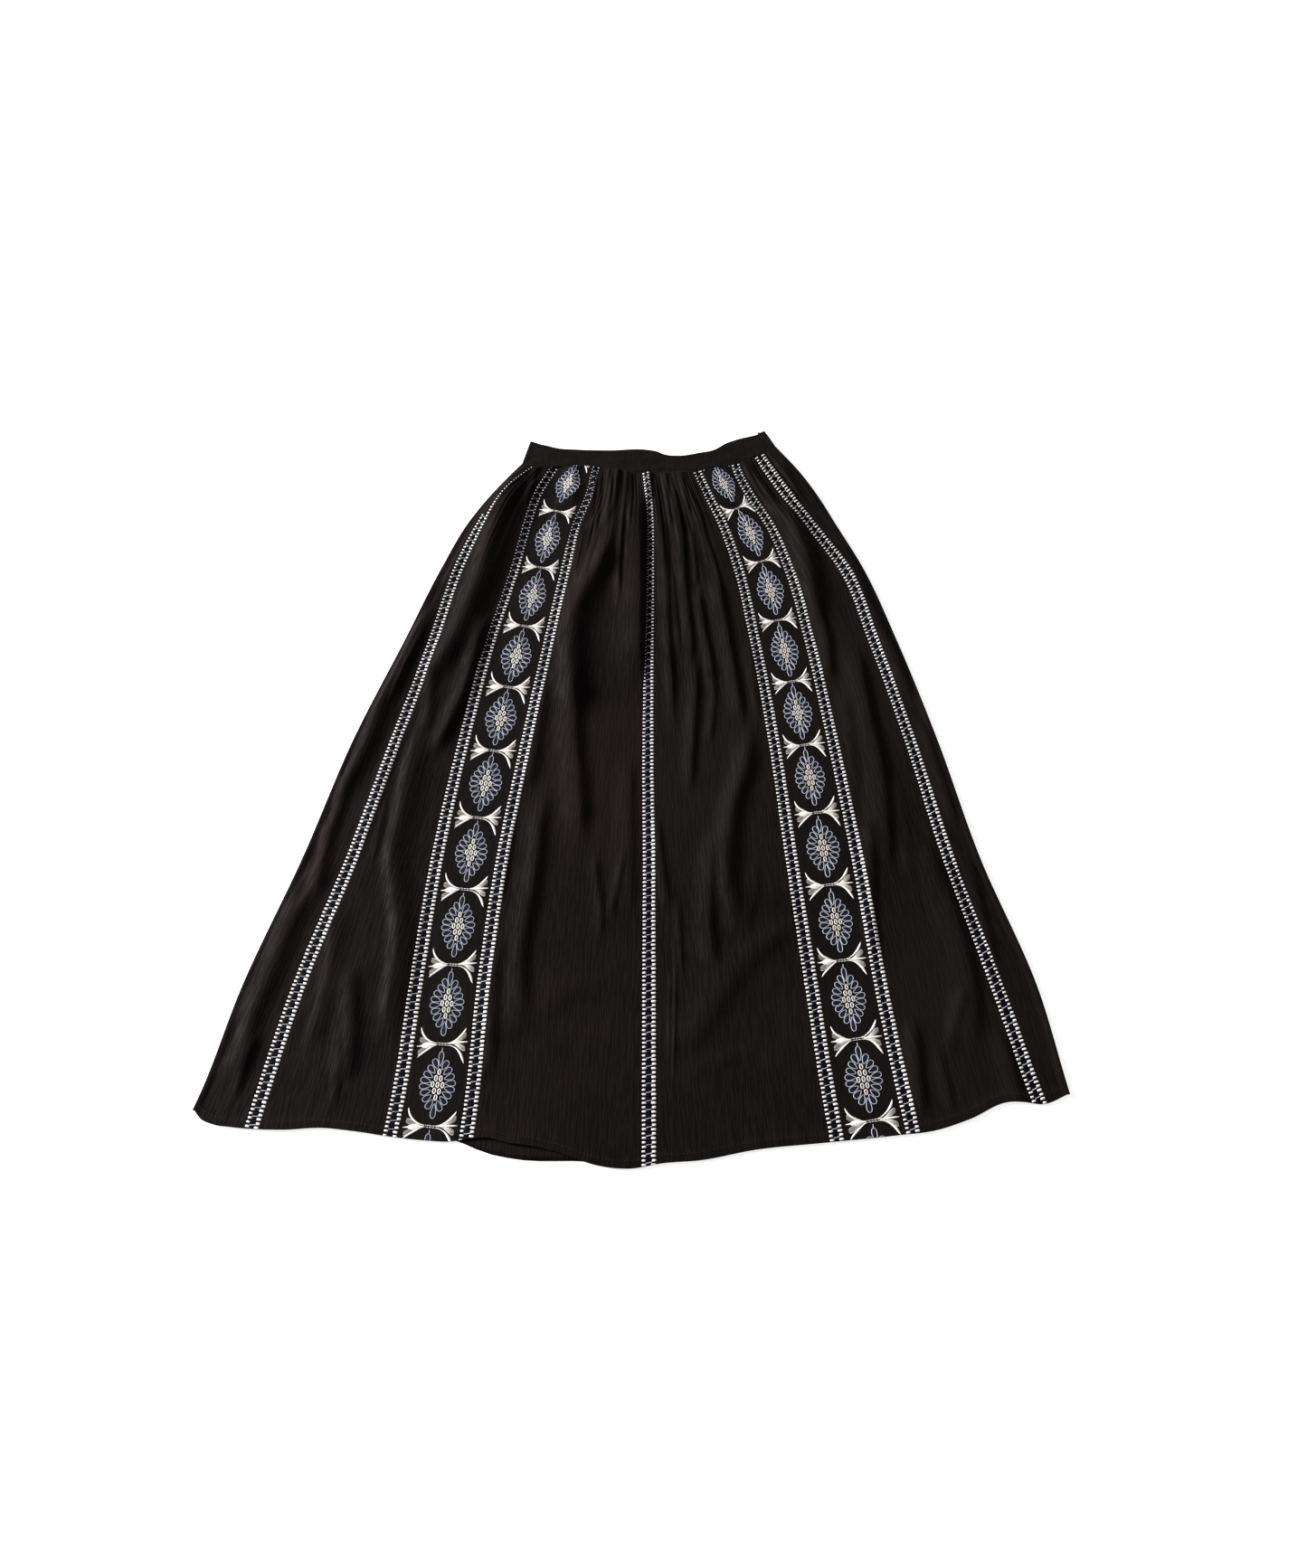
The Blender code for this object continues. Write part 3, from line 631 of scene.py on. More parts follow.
def satin_group():
    """Embroidery threads side by side, each a little fuller or thinner than the next, with a tone that paints
    light on their tops and shade between them.
    """
    group, given, result = new_group(
        "satin threads", {"Cut": None, "Thread": 0.00055, "Slant": 0.0}, ("Height", "Tone"))
    split = group.nodes.new("ShaderNodeSeparateXYZ")
    group.links.new(given["Cut"], split.inputs[0])
    slanted = maths(group, "MULTIPLY_ADD", split.outputs[0], given["Slant"], split.outputs[1])
    count = maths(group, "DIVIDE", slanted, given["Thread"])
    round_top = maths(group, "ABSOLUTE", maths(group, "SINE", maths(group, "MULTIPLY", count, math.pi)))
    hairs = noise(group, stretched(group, given["Cut"], maths(group, "MULTIPLY", given["Thread"], 5.0),
                                   given["Thread"]), 2.0)
    feed(group, result["Height"], maths(group, "MULTIPLY_ADD", hairs, 0.4, round_top))
    # The tone is painted light along each strand's round top and painted shade between the strands, with
    # random hairs
    tone = maths(group, "MULTIPLY_ADD", hairs, 0.5, round_top)
    feed(group, result["Tone"], blend_range(group, tone, 0.2, 1.2))
    return group


CRINKLE = crinkle_group()
WEAVE = weave_group()
WEAR = wear_group()
SATIN = satin_group()
CUT_MAP = "cut"

# The cloth: its worn patches in metres and how far they fade, its weave's depth and its dull gloss
CLOTH_PATCH = 0.24
FADED_SHARE = 0.55
WEAVE_DEPTH = 0.00005
CLOTH_ROUGHNESS = (0.78, 0.62)
CLOTH_GLOSS = 0.05
CLOTH_SHEEN_ROUGHNESS = 0.38
CLOTH_SHEEN_TINT = (1.0, 0.93, 0.90, 1.0)

# The threads: their worn patches in metres, what those and the painted light and shade of the
# strands add to the tone, and how much rougher a thread is between the strands
THREAD_PATCH = 0.006
THREAD_WEAR = 0.25
THREAD_STRAND_LIGHT_AND_SHADE = 0.85
THREAD_ROUGHER = 0.2
THREAD_SHEEN_ROUGHNESS = 0.35
# How full the far colour of a thread gets, and how ragged its start is, in metres
FAR_SHARE = 0.85
FAR_RAGGED = 0.006


def place_group(tree, group, cut, **values):
    """One use of a node group in a material, with the material's own values."""
    node = tree.nodes.new("ShaderNodeGroup")
    node.node_tree = group
    tree.links.new(cut, node.inputs["Cut"])
    for label, value in values.items():
        node.inputs[label].default_value = value
    return node.outputs


def mix_colours(tree, share, low, high):
    """A colour between two others, by a share that changes over the surface."""
    node = tree.nodes.new("ShaderNodeMix")
    node.data_type = "RGBA"
    feed(tree, node.inputs["Factor"], share)
    for socket, value in zip((node.inputs[6], node.inputs[7]), (low, high)):
        feed(tree, socket, value if isinstance(value, bpy.types.NodeSocket) else (*value, 1.0))
    return node.outputs[2]


def start_material(name):
    """A new material, with its nodes, its shader and the cut's map."""
    material = bpy.data.materials.new(name)
    material.use_nodes = True
    tree = material.node_tree
    cut = tree.nodes.new("ShaderNodeUVMap")
    cut.uv_map = CUT_MAP
    return material, tree, tree.nodes["Principled BSDF"], cut.outputs[0]


def raise_surface(tree, shader, height, distance, under=None):
    """Feeds a height to the shader's normal, over another bump where one is given."""
    bump = tree.nodes.new("ShaderNodeBump")
    bump.inputs["Distance"].default_value = distance
    tree.links.new(height, bump.inputs["Height"])
    if under is not None:
        tree.links.new(under, bump.inputs["Normal"])
    tree.links.new(bump.outputs[0], shader.inputs["Normal"])
    return bump.outputs[0]


def cloth_material(name, hollow, ridge, faded, pitch, crinkle_depth, sheen):
    """Black crepe: dark in the crinkle's hollows as painted shade, a little browner on its ridges as painted
    light, and browner where worn.
    """
    material, tree, shader, cut = start_material(name)
    crinkle = place_group(tree, CRINKLE, cut, Pitch=pitch)
    weave = place_group(tree, WEAVE, cut)
    wear = place_group(tree, WEAR, cut, Patch=CLOTH_PATCH)
    # hollow is the colour of the painted shade in the crinkle's hollows, ridge that of the painted light on
    # its ridges
    black = mix_colours(tree, crinkle["Tone"], hollow, ridge)
    feed(tree, shader.inputs["Base Color"],
         mix_colours(tree, maths(tree, "MULTIPLY", wear["Tone"], FADED_SHARE), black, faded))
    feed(tree, shader.inputs["Roughness"], blend_range(tree, crinkle["Height"], 0.2, 0.9, *CLOTH_ROUGHNESS))
    shader.inputs["Specular IOR Level"].default_value = CLOTH_GLOSS
    shader.inputs["Sheen Weight"].default_value = sheen
    shader.inputs["Sheen Roughness"].default_value = CLOTH_SHEEN_ROUGHNESS
    shader.inputs["Sheen Tint"].default_value = CLOTH_SHEEN_TINT
    fine = raise_surface(tree, shader, weave["Height"], WEAVE_DEPTH)
    raise_surface(tree, shader, crinkle["Height"], crinkle_depth, fine)
    return material


def thread_material(name, shade, light, thread, slant, depth, roughness, sheen, gloss,
                    far=None, far_from=None):
    """Satin thread, dark between the strands as painted shade and light along their tops as painted light.

    Where far is given, the thread turns to that colour between two lengths along the strand.
    """
    material, tree, shader, cut = start_material(name)
    satin = place_group(tree, SATIN, cut, Thread=thread, Slant=slant)
    wear = place_group(tree, WEAR, cut, Patch=THREAD_PATCH)
    tone = maths(tree, "MULTIPLY_ADD", wear["Tone"], THREAD_WEAR,
                 maths(tree, "MULTIPLY", satin["Tone"], THREAD_STRAND_LIGHT_AND_SHADE))
    colour = mix_colours(tree, tone, shade, light)
    if far is not None:
        split = tree.nodes.new("ShaderNodeSeparateXYZ")
        tree.links.new(cut, split.inputs[0])
        along = maths(tree, "MULTIPLY_ADD", wear["Tone"], FAR_RAGGED, split.outputs[0])
        start, end = (length + FAR_RAGGED / 2 for length in far_from)
        far_off = blend_range(tree, along, start, end)
        colour = mix_colours(tree, maths(tree, "MULTIPLY", far_off, FAR_SHARE), colour, far)
    feed(tree, shader.inputs["Base Color"], colour)
    feed(tree, shader.inputs["Roughness"],
         blend_range(tree, satin["Height"], 0.0, 1.2, roughness + THREAD_ROUGHER, roughness))
    shader.inputs["Specular IOR Level"].default_value = gloss
    shader.inputs["Sheen Weight"].default_value = sheen
    shader.inputs["Sheen Roughness"].default_value = THREAD_SHEEN_ROUGHNESS
    raise_surface(tree, shader, satin["Height"], depth)
    return material


# Each crepe's colours: its painted shade in the crinkle's hollows, its painted light on the ridges, and its
# worn patches
# The crepe of the left gores, on the side the light comes from, is a little more plum than that of the right
# ones: painted warm light
LEFT_CREPE_PAINTED_WARM_LIGHT = cloth_material("black crepe with painted warm light", (0.0030, 0.0021, 0.0020), (0.0064, 0.0043, 0.0043),
                            (0.0108, 0.0058, 0.0062), 0.0026, 0.00022, 0.008)
RIGHT_CREPE = cloth_material("black crepe", (0.0030, 0.0024, 0.0021), (0.0064, 0.0051, 0.0045),
                             (0.0086, 0.0064, 0.0056), 0.0026, 0.00022, 0.010)
BAND_CREPE = cloth_material("black band crepe", (0.0036, 0.0029, 0.0027), (0.0056, 0.0045, 0.0042),
                            (0.0072, 0.0055, 0.0051), 0.0030, 0.00010, 0.010)
WAISTBAND_CREPE = cloth_material("black waistband crepe", (0.0044, 0.0035, 0.0033),
                                 (0.0062, 0.0049, 0.0046), (0.0078, 0.0060, 0.0056), 0.0040, 0.00008, 0.010)
FRONT_CLOTH = {
    "front_side_left": LEFT_CREPE_PAINTED_WARM_LIGHT, "front_left": LEFT_CREPE_PAINTED_WARM_LIGHT, "band_left": BAND_CREPE,
    "front_centre_left": LEFT_CREPE_PAINTED_WARM_LIGHT, "front_centre_right": RIGHT_CREPE, "band_right": BAND_CREPE,
    "front_right": RIGHT_CREPE, "front_side_right": RIGHT_CREPE,
}
CREAM = thread_material("cream satin thread", (0.58, 0.55, 0.52), (0.97, 0.95, 0.92), 0.00055, 0.0,
                        0.00008, 0.45, 0.05, 0.3)
FAN_CREAM = thread_material("cream and tan satin thread", (0.24, 0.21, 0.185), (0.86, 0.81, 0.77),
                            0.0011, 0.0, 0.00012, 0.45, 0.05, 0.2,
                            far=(0.10, 0.085, 0.073), far_from=(0.007, 0.015))
SEED_CREAM = thread_material("cream seed thread", (0.30, 0.275, 0.25), (0.84, 0.79, 0.75), 0.0008, 0.8,
                             0.00010, 0.5, 0.04, 0.2)
SEED_THREADS = {"band_left": CREAM, "band_right": SEED_CREAM}
TAN = thread_material("tan thread", (0.05, 0.043, 0.038), (0.15, 0.13, 0.115), 0.0006, 0.0,
                      0.00010, 0.5, 0.03, 0.2)
PALE_SLATE = thread_material("pale slate cord", (0.29, 0.30, 0.345), (0.68, 0.70, 0.78), 0.0007, 0.8,
                             0.00008, 0.45, 0.05, 0.25)
SLATE = thread_material("slate satin thread", (0.0030, 0.0034, 0.0060), (0.0125, 0.0140, 0.0225), 0.0006, 0.0,
                        0.00010, 0.5, 0.01, 0.06)
NAVY = thread_material("navy satin thread", (0.0009, 0.0010, 0.0020), (0.0024, 0.0026, 0.0056), 0.0006, 0.0,
                       0.00010, 0.6, 0.0, 0.03)
BLACK_THREAD = thread_material("black sewing thread", (0.008, 0.0072, 0.0068), (0.026, 0.023, 0.0215),
                               0.0004, 0.9, 0.00006, 0.5, 0.03, 0.1)


# Making pieces

def new_piece(name, points, faces, cut, material):
    """A piece from points, faces and the cut's map of its points, all in millimetres."""
    mesh = bpy.data.meshes.new(name)
    mesh.from_pydata((points * MM).tolist(), [], faces.tolist())
    mesh.uv_layers.new(name=CUT_MAP, do_init=False)
    corners = np.zeros(len(mesh.loops), int)
    mesh.loops.foreach_get("vertex_index", corners)
    mesh.uv_layers[CUT_MAP].uv.foreach_set("vector", (cut[corners] * MM).astype(np.float32).ravel())
    mesh.shade_smooth()
    mesh.materials.append(material)
    piece = bpy.data.objects.new(name, mesh)
    bpy.context.scene.collection.objects.link(piece)
    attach(piece, "root")
    return piece


def grid_faces(rows, columns, first=0, turned=False):
    """Four-sided faces of a grid of points, by rows."""
    corner = first + np.arange(rows - 1)[:, None] * columns + np.arange(columns - 1)[None]
    faces = np.stack([corner, corner + columns, corner + columns + 1, corner + 1], axis=-1).reshape(-1, 4)
    return faces[:, ::-1] if turned else faces


def surface_directions(middle):
    """Directions square to a grid of points, upwards, and level along the skirt at its two ends."""
    across = np.gradient(middle, axis=1)
    along = np.gradient(middle, axis=0)
    outward = np.cross(along, across)
    outward[0, :, 1] = 0.0
    outward[-1, :, 1] = 0.0
    return outward / np.linalg.norm(outward, axis=-1, keepdims=True)


def shell(name, middle, cut, thickness, material):
    """A closed layer of cloth about a grid of points."""
    rows, columns = middle.shape[:2]
    outward = surface_directions(middle) * thickness / 2
    points = np.concatenate([(middle + outward).reshape(-1, 3), (middle - outward).reshape(-1, 3)])
    under = rows * columns
    rim = [column for column in range(columns - 1)]
    rim += [row * columns + columns - 1 for row in range(rows - 1)]
    rim += [(rows - 1) * columns + column for column in range(columns - 1, 0, -1)]
    rim += [row * columns for row in range(rows - 1, 0, -1)]
    start = np.array(rim)
    end = np.roll(start, -1)
    faces = np.concatenate([
        grid_faces(rows, columns), grid_faces(rows, columns, under, turned=True),
        np.stack([start, end, end + under, start + under], axis=-1)])
    flat = cut.reshape(-1, 2)
    return new_piece(name, points, faces, np.concatenate([flat, flat]), material)


def row_shares(length):
    """Shares of the way down a piece, close at the gathers, with the hem's own rows."""
    last = 1 - HEM_ROWS[0] / length
    rows = [last * (row / ROWS) ** ROW_CROWDING for row in range(ROWS)]
    return np.array(rows + [1 - depth / length for depth in HEM_ROWS])


def fold_places():
    """Places round a side fold, from next to its top to the end of the cloth turned under."""
    return [ROLL_SHARE * step / ROLL_STEPS for step in range(1, ROLL_STEPS + 1)] + [1.0]


def front_cloth(number):
    """One front piece as crinkled cloth, rolled round its side fold where it has one."""
    node, *_, cut_top, cut_hem = FRONT_PIECES[number]
    columns = round(cut_hem / COLUMN_WIDTH)
    places = [number + column / columns for column in range(columns + 1)]
    first = number == 0
    last = number == LAST_LINE - 1
    if first:
        places = [-place for place in reversed(fold_places())] + places
    if last:
        places = places + [number + 1 + place for place in fold_places()]
    length = float(np.interp(number + 0.5, PLACES, HEM_LEVELS - SEAM_LEVELS))
    place, down = np.meshgrid(places, row_shares(length))
    line = np.clip(place, number, number + 1)
    seam = np.interp(line, PLACES, SEAM_LEVELS) + SEAM_GAP / 2
    hem = np.interp(line, PLACES, HEM_LEVELS)
    below = seam + (hem - seam) * down
    lines = lines_at(below, FOLD_INSET)
    left = lines[number] + (0 if first else SEAM_GAP / 2)
    right = lines[number + 1] - (0 if last else SEAM_GAP / 2)
    x = left + (right - left) * (line - number)
    height = front_height(x, below)
    past = np.clip(np.maximum(-place, place - LAST_LINE), 0, 1)
    inward, rolled = side_fold(past, CLOTH)
    x = np.where(place < 0, line_x(0, below) + inward, x)
    x = np.where(place > LAST_LINE, line_x(LAST_LINE, below) - inward, x)
    height = np.where(past > 0, rolled, height)
    middle = laid_out(x, below, height)
    share = line - number
    piece = np.full(place.shape, number)
    turned = past * (math.pi * FOLD_INSET + TURN_UNDER) * np.where(place < 0, -1, 1)
    across = cut_across(piece, share, below - seam, hem - seam) + turned + DRAW_SHIFT * number
    made = shell(f"cloth_{node}", middle, np.stack([across, below], axis=-1), CLOTH,
                 FRONT_CLOTH[node])
    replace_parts(made, node)
    under = math.pi * FOLD_INSET + TURN_UNDER if first or last else 0.0
    area = ((cut_top + cut_hem) / 2 + under) * length * MM * MM
    return made, ((cut_hem + under) * MM, length * MM), area


def back_cloth():
    """The plain back, under the front."""
    rows = row_shares(HEM_LEVELS.mean())[::BACK_ROW_STEP]
    line, down = np.meshgrid(np.linspace(0, LAST_LINE, BACK_COLUMNS), rows)
    down = down / down[-1]
    top = level_on(WAIST_SEAM, lambda level: across_x(line, level, BACK_INSET), line.shape) + SEAM_GAP / 2
    bottom = level_on(BACK_HEM, lambda level: across_x(line, level, BACK_INSET), line.shape)
    below = top + (bottom - top) * down
    x = across_x(line, below, BACK_INSET)
    middle = laid_out(x, below, np.full(x.shape, CLOTH / 2))
    made = shell("cloth_back_panel", middle, np.stack([x, below], axis=-1), CLOTH,
                 RIGHT_CREPE)
    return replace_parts(made, "back_panel")


def waistband_height(x, below, down):
    """Height of the middle of the waistband's front half."""
    short, long = RIPPLE_LENGTHS
    ripple = 1 + RIPPLE * np.sin(x / short) * np.cos(x / long + 2 * down)
    swell = WAISTBAND_SWELL * (1 + down) / 2 * ripple
    wrinkle = sum(height * soft_noise(x / width, below / run, draw)
                  for height, width, run, draw in WAISTBAND_WRINKLES)
    calm_top, calm_seam = WAISTBAND_CALM
    calm = smooth_step(down / calm_top) * smooth_step((1 - down) / calm_seam)
    return WAISTBAND_LOWEST + WAISTBAND_WALL - WAISTBAND_CLOTH / 2 + swell + wrinkle * calm


def waistband_cloth():
    """The front half of the waistband, folded round at both ends."""
    shares = list(np.linspace(0, 1, WAISTBAND_COLUMNS + 1))
    shares = [-place for place in reversed(fold_places())] + shares + [1 + place for place in fold_places()]
    place, down = np.meshgrid(shares, np.linspace(0, 1, WAISTBAND_ROWS + 1))
    share = np.clip(place, 0, 1)
    top = level_on(WAISTBAND_TOP, lambda level: waistband_x(share, level, FOLD_INSET), share.shape)
    seam = level_on(WAIST_SEAM, lambda level: waistband_x(share, level, FOLD_INSET), share.shape)
    below = top + (seam - SEAM_GAP / 2 - top) * down
    x = waistband_x(share, below, FOLD_INSET)
    height = waistband_height(x, below, down)
    left, right = waistband_end_x(0, below), waistband_end_x(1, below)
    fold_top = side_fold(0.0, WAISTBAND_CLOTH)[1]
    room = np.minimum(x - left, right - x) / EDGE_FADE
    height = height + (fold_top - height) * (1 - smooth_step((room - EDGE_FLAT) / (1 - EDGE_FLAT)))
    past = np.clip(np.maximum(-place, place - 1), 0, 1)
    inward, rolled = side_fold(past, WAISTBAND_CLOTH)
    x = np.where(place < 0, left + inward, x)
    x = np.where(place > 1, right - inward, x)
    height = np.where(past > 0, rolled, height)
    middle = laid_out(x, below, height)
    made = shell("cloth_waistband_front", middle, np.stack([x, below], axis=-1), WAISTBAND_CLOTH,
                 WAISTBAND_CREPE)
    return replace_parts(made, "waistband_front")


def waistband_lining():
    """The back half of the waistband, which shows a little above the front half."""
    share, down = np.meshgrid(np.linspace(0, 1, BACK_COLUMNS), np.linspace(0, 1, LINING_ROWS))
    top = level_on(WAISTBAND_TOP, lambda level: waistband_x(share, level, BACK_INSET), share.shape)
    top = top - read_curve(BACK_TOP_SHOWS, waistband_x(share, top, BACK_INSET))
    seam = level_on(WAIST_SEAM, lambda level: waistband_x(share, level, BACK_INSET), share.shape)
    below = top + (seam - SEAM_GAP / 2 - top) * down
    x = waistband_x(share, below, BACK_INSET)
    middle = laid_out(x, below, np.full(x.shape, WAISTBAND_CLOTH / 2))
    made = shell("cloth_waistband_back", middle, np.stack([x, below], axis=-1), WAISTBAND_CLOTH,
                 WAISTBAND_CREPE)
    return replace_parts(made, "waistband_back")


# Embroidery patterns, as points across, along and above the stripe that they are sewn on

# How far a strand's edges sink into the cloth, and how clear of the seam and the hem it stays
SUNK = 0.12
CLEAR_OF_SEAM = 0.4
CLEAR_OF_HEM = 0.3


def ribbon(path, half_width, height, closed=False, steps=4):
    """One raised strand along a path, round on top and open underneath."""
    path = np.asarray(path, float)
    count = len(path)
    if closed:
        direction = np.roll(path, -1, 0) - np.roll(path, 1, 0)
    else:
        direction = np.gradient(path, axis=0)
    direction /= np.linalg.norm(direction, axis=1, keepdims=True)
    side = np.stack([-direction[:, 1], direction[:, 0]], axis=1)
    half_width = np.broadcast_to(np.asarray(half_width, float), count)
    height = np.broadcast_to(np.asarray(height, float), count)
    angle = np.linspace(0, math.pi, steps + 1)
    reach = half_width[:, None] * np.cos(angle)
    flat = path[:, None] + side[:, None] * reach[..., None]
    lift = height[:, None] * np.sin(angle)
    lift[:, [0, -1]] = -SUNK
    steps_along = np.linalg.norm(np.diff(path, axis=0), axis=1)
    length = np.concatenate([[0], np.cumsum(steps_along)])
    points = np.concatenate([flat, lift[..., None]], axis=-1).reshape(-1, 3)
    cut = np.stack([np.broadcast_to(length[:, None], reach.shape), reach], axis=-1).reshape(-1, 2)
    faces = grid_faces(count, steps + 1)
    if closed:
        last = (count - 1) * (steps + 1) + np.arange(steps)
        first = np.arange(steps)
        faces = np.concatenate([faces, np.stack([last, first, first + 1, last + 1], axis=-1)])
    return points, faces, cut


def joined(parts):
    """Several patterns as one."""
    points, faces, cuts, first = [], [], [], 0
    for part_points, part_faces, part_cut in parts:
        points.append(part_points)
        faces.append(part_faces + first)
        cuts.append(part_cut)
        first += len(part_points)
    return np.concatenate(points), np.concatenate(faces), np.concatenate(cuts)


def repeated(pattern, places):
    """Copies of a pattern, each shifted across and along, and sized across, along and in lift."""
    points, faces, cut = pattern
    places = np.asarray(places, float)
    shift = np.concatenate([places[:, :2], np.zeros((len(places), 1))], axis=1)
    copies = points[None] * places[:, None, 2:5] + shift[:, None]
    first = np.arange(len(places)) * len(points)
    all_faces = (faces[None] + first[:, None, None]).reshape(-1, 4)
    return copies.reshape(-1, 3), all_faces, np.tile(cut, (len(places), 1))


def stripe_route(x_at, place, scale_at):
    """A stripe's middle from the waist seam to the hem, with the length run and the width's share."""
    seam = float(np.interp(place, PLACES, SEAM_LEVELS))
    hem = float(np.interp(place, PLACES, HEM_LEVELS))
    below = np.linspace(seam, hem, int(hem - seam) + 1)
    x = x_at(below)
    run = np.concatenate([[0], np.cumsum(np.hypot(np.diff(x), np.diff(below)))])
    return {"below": below, "x": x, "run": run, "slope": np.gradient(x, below), "scale": scale_at(below)}


def sew_on(name, route, pattern, material):
    """Lays a pattern on the front along a stripe, cut off at the waist seam and the hem."""
    points, faces, cut = pattern
    across, along, lift = points.T

    def read(what):
        return np.interp(along, route["run"], route[what])

    overrun = along - np.clip(along, 0, route["run"][-1])
    slope = read("slope")
    stretch = np.hypot(1.0, slope)
    offset = across * read("scale") / stretch
    x = read("x") + offset + overrun * slope / stretch
    below = read("below") - offset * slope + overrun / stretch
    seam = read_curve(WAIST_SEAM, x) + CLEAR_OF_SEAM
    hem = read_curve(FRONT_HEM, x) - CLEAR_OF_HEM
    inside = (below > seam) & (below < hem)
    faces = faces[inside[faces].any(1)]
    below = np.clip(below, seam, hem)
    used, numbers = np.unique(faces, return_inverse=True)
    made = on_front(x[used], below[used], lift[used])
    return new_piece(name, made, numbers.reshape(-1, 4), cut[used], material)


# The ladders

# Each ladder is two rails of satin blocks, with dark panels and slanted rungs between them
LADDER_WIDTH = 15.6
# Width and length of the blocks of the left rail and of the right one
RAIL_BLOCKS = ((4.7, 2.35), (5.3, 2.7))
# Every other block, between two rungs, is this much shorter
SHORT_BLOCK = 0.16
# How far down, and the share of a block's length there: the cloth is drawn in towards the waist
BLOCK_LENGTHS = ((-45, 0.72), (200, 0.78), (520, 1.0), (930, 1.04))
BLOCK_PITCH = 4.82
BLOCK_HEIGHT = 0.55
# The dark panels between the rungs, one to each pair of blocks
PANEL_PITCH = 2 * BLOCK_PITCH
RUNG_REACH = 2.8
LADDER_SCALE = (
    # below, share of the full width
    (-45, 0.74), (20, 0.76), (120, 0.79), (300, 0.85), (500, 0.92), (700, 0.98), (930, 1.0),
)
# Where a rail lies in the folds, so that its blocks look smaller
THINNED = (
    # line, side of the rail, from, to, share of a block that shows
    (2, -1, -60, 300, 0.50), (2, 1, -60, 150, 0.58), (3, -1, -60, 130, 0.50), (3, 1, -60, 100, 0.52),
    (4, -1, 30, 330, 0.40), (4, 1, 30, 270, 0.80), (5, -1, -60, 60, 0.74), (6, 1, -60, 90, 0.74),
    (1, 1, -60, 60, 0.70), (7, 1, 560, 760, 0.74),
)
THINNED_ENDS = 26.0
# How short a block gets where none of its width shows
THINNED_SHORTEST = 0.35
# The centre ladder is sewn a little to the right of its seam
CENTRE_SHIFT = ((-45, 0.0), (115, 0.7), (200, 0.7), (300, 0.0), (450, 0.1), (560, 1.6), (930, 1.7))
LADDERS = (
    # name, line, share of the ladder's width at the waist, how far down it is full, and how far down
    # the left rail and the right one come out of the folds
    ("side_left", 1, 0.42, 120, 72, -60),
    ("band_left_outer", 2, 1.0, 1, -60, -60),
    ("band_left_inner", 3, 0.90, 90, -60, -60),
    ("centre", 4, 0.74, 430, -60, -60),
    ("band_right_inner", 5, 1.0, 1, -60, -60),
    ("band_right_outer", 6, 1.0, 1, -60, -60),
    ("side_right", 7, 1.26, 320, -60, -60),
)


def satin_block(width, length):
    """One block of satin stitches across a ladder's rail."""
    share = np.array([0, 0.05, 0.18, 0.5, 0.82, 0.95, 1.0])
    rounding = np.array([0.55, 0.85, 1, 1, 1, 0.85, 0.55])
    rise = np.array([0.12, 0.72, 1, 1.05, 1, 0.72, 0.12])
    path = [(width * (s - 0.5), 0.0) for s in share]
    return ribbon(path, rounding * length / 2, rise * BLOCK_HEIGHT)


def shown_share(line, side, levels):
    """The share of a rail's blocks that shows at each level."""
    shown = np.ones(len(levels))
    for thin_line, thin_side, top, end, share in THINNED:
        if (thin_line, thin_side) == (line, side):
            inside = smooth_step((levels - top) / THINNED_ENDS) * smooth_step((end - levels) / THINNED_ENDS)
            shown -= (1 - share) * inside
    return shown


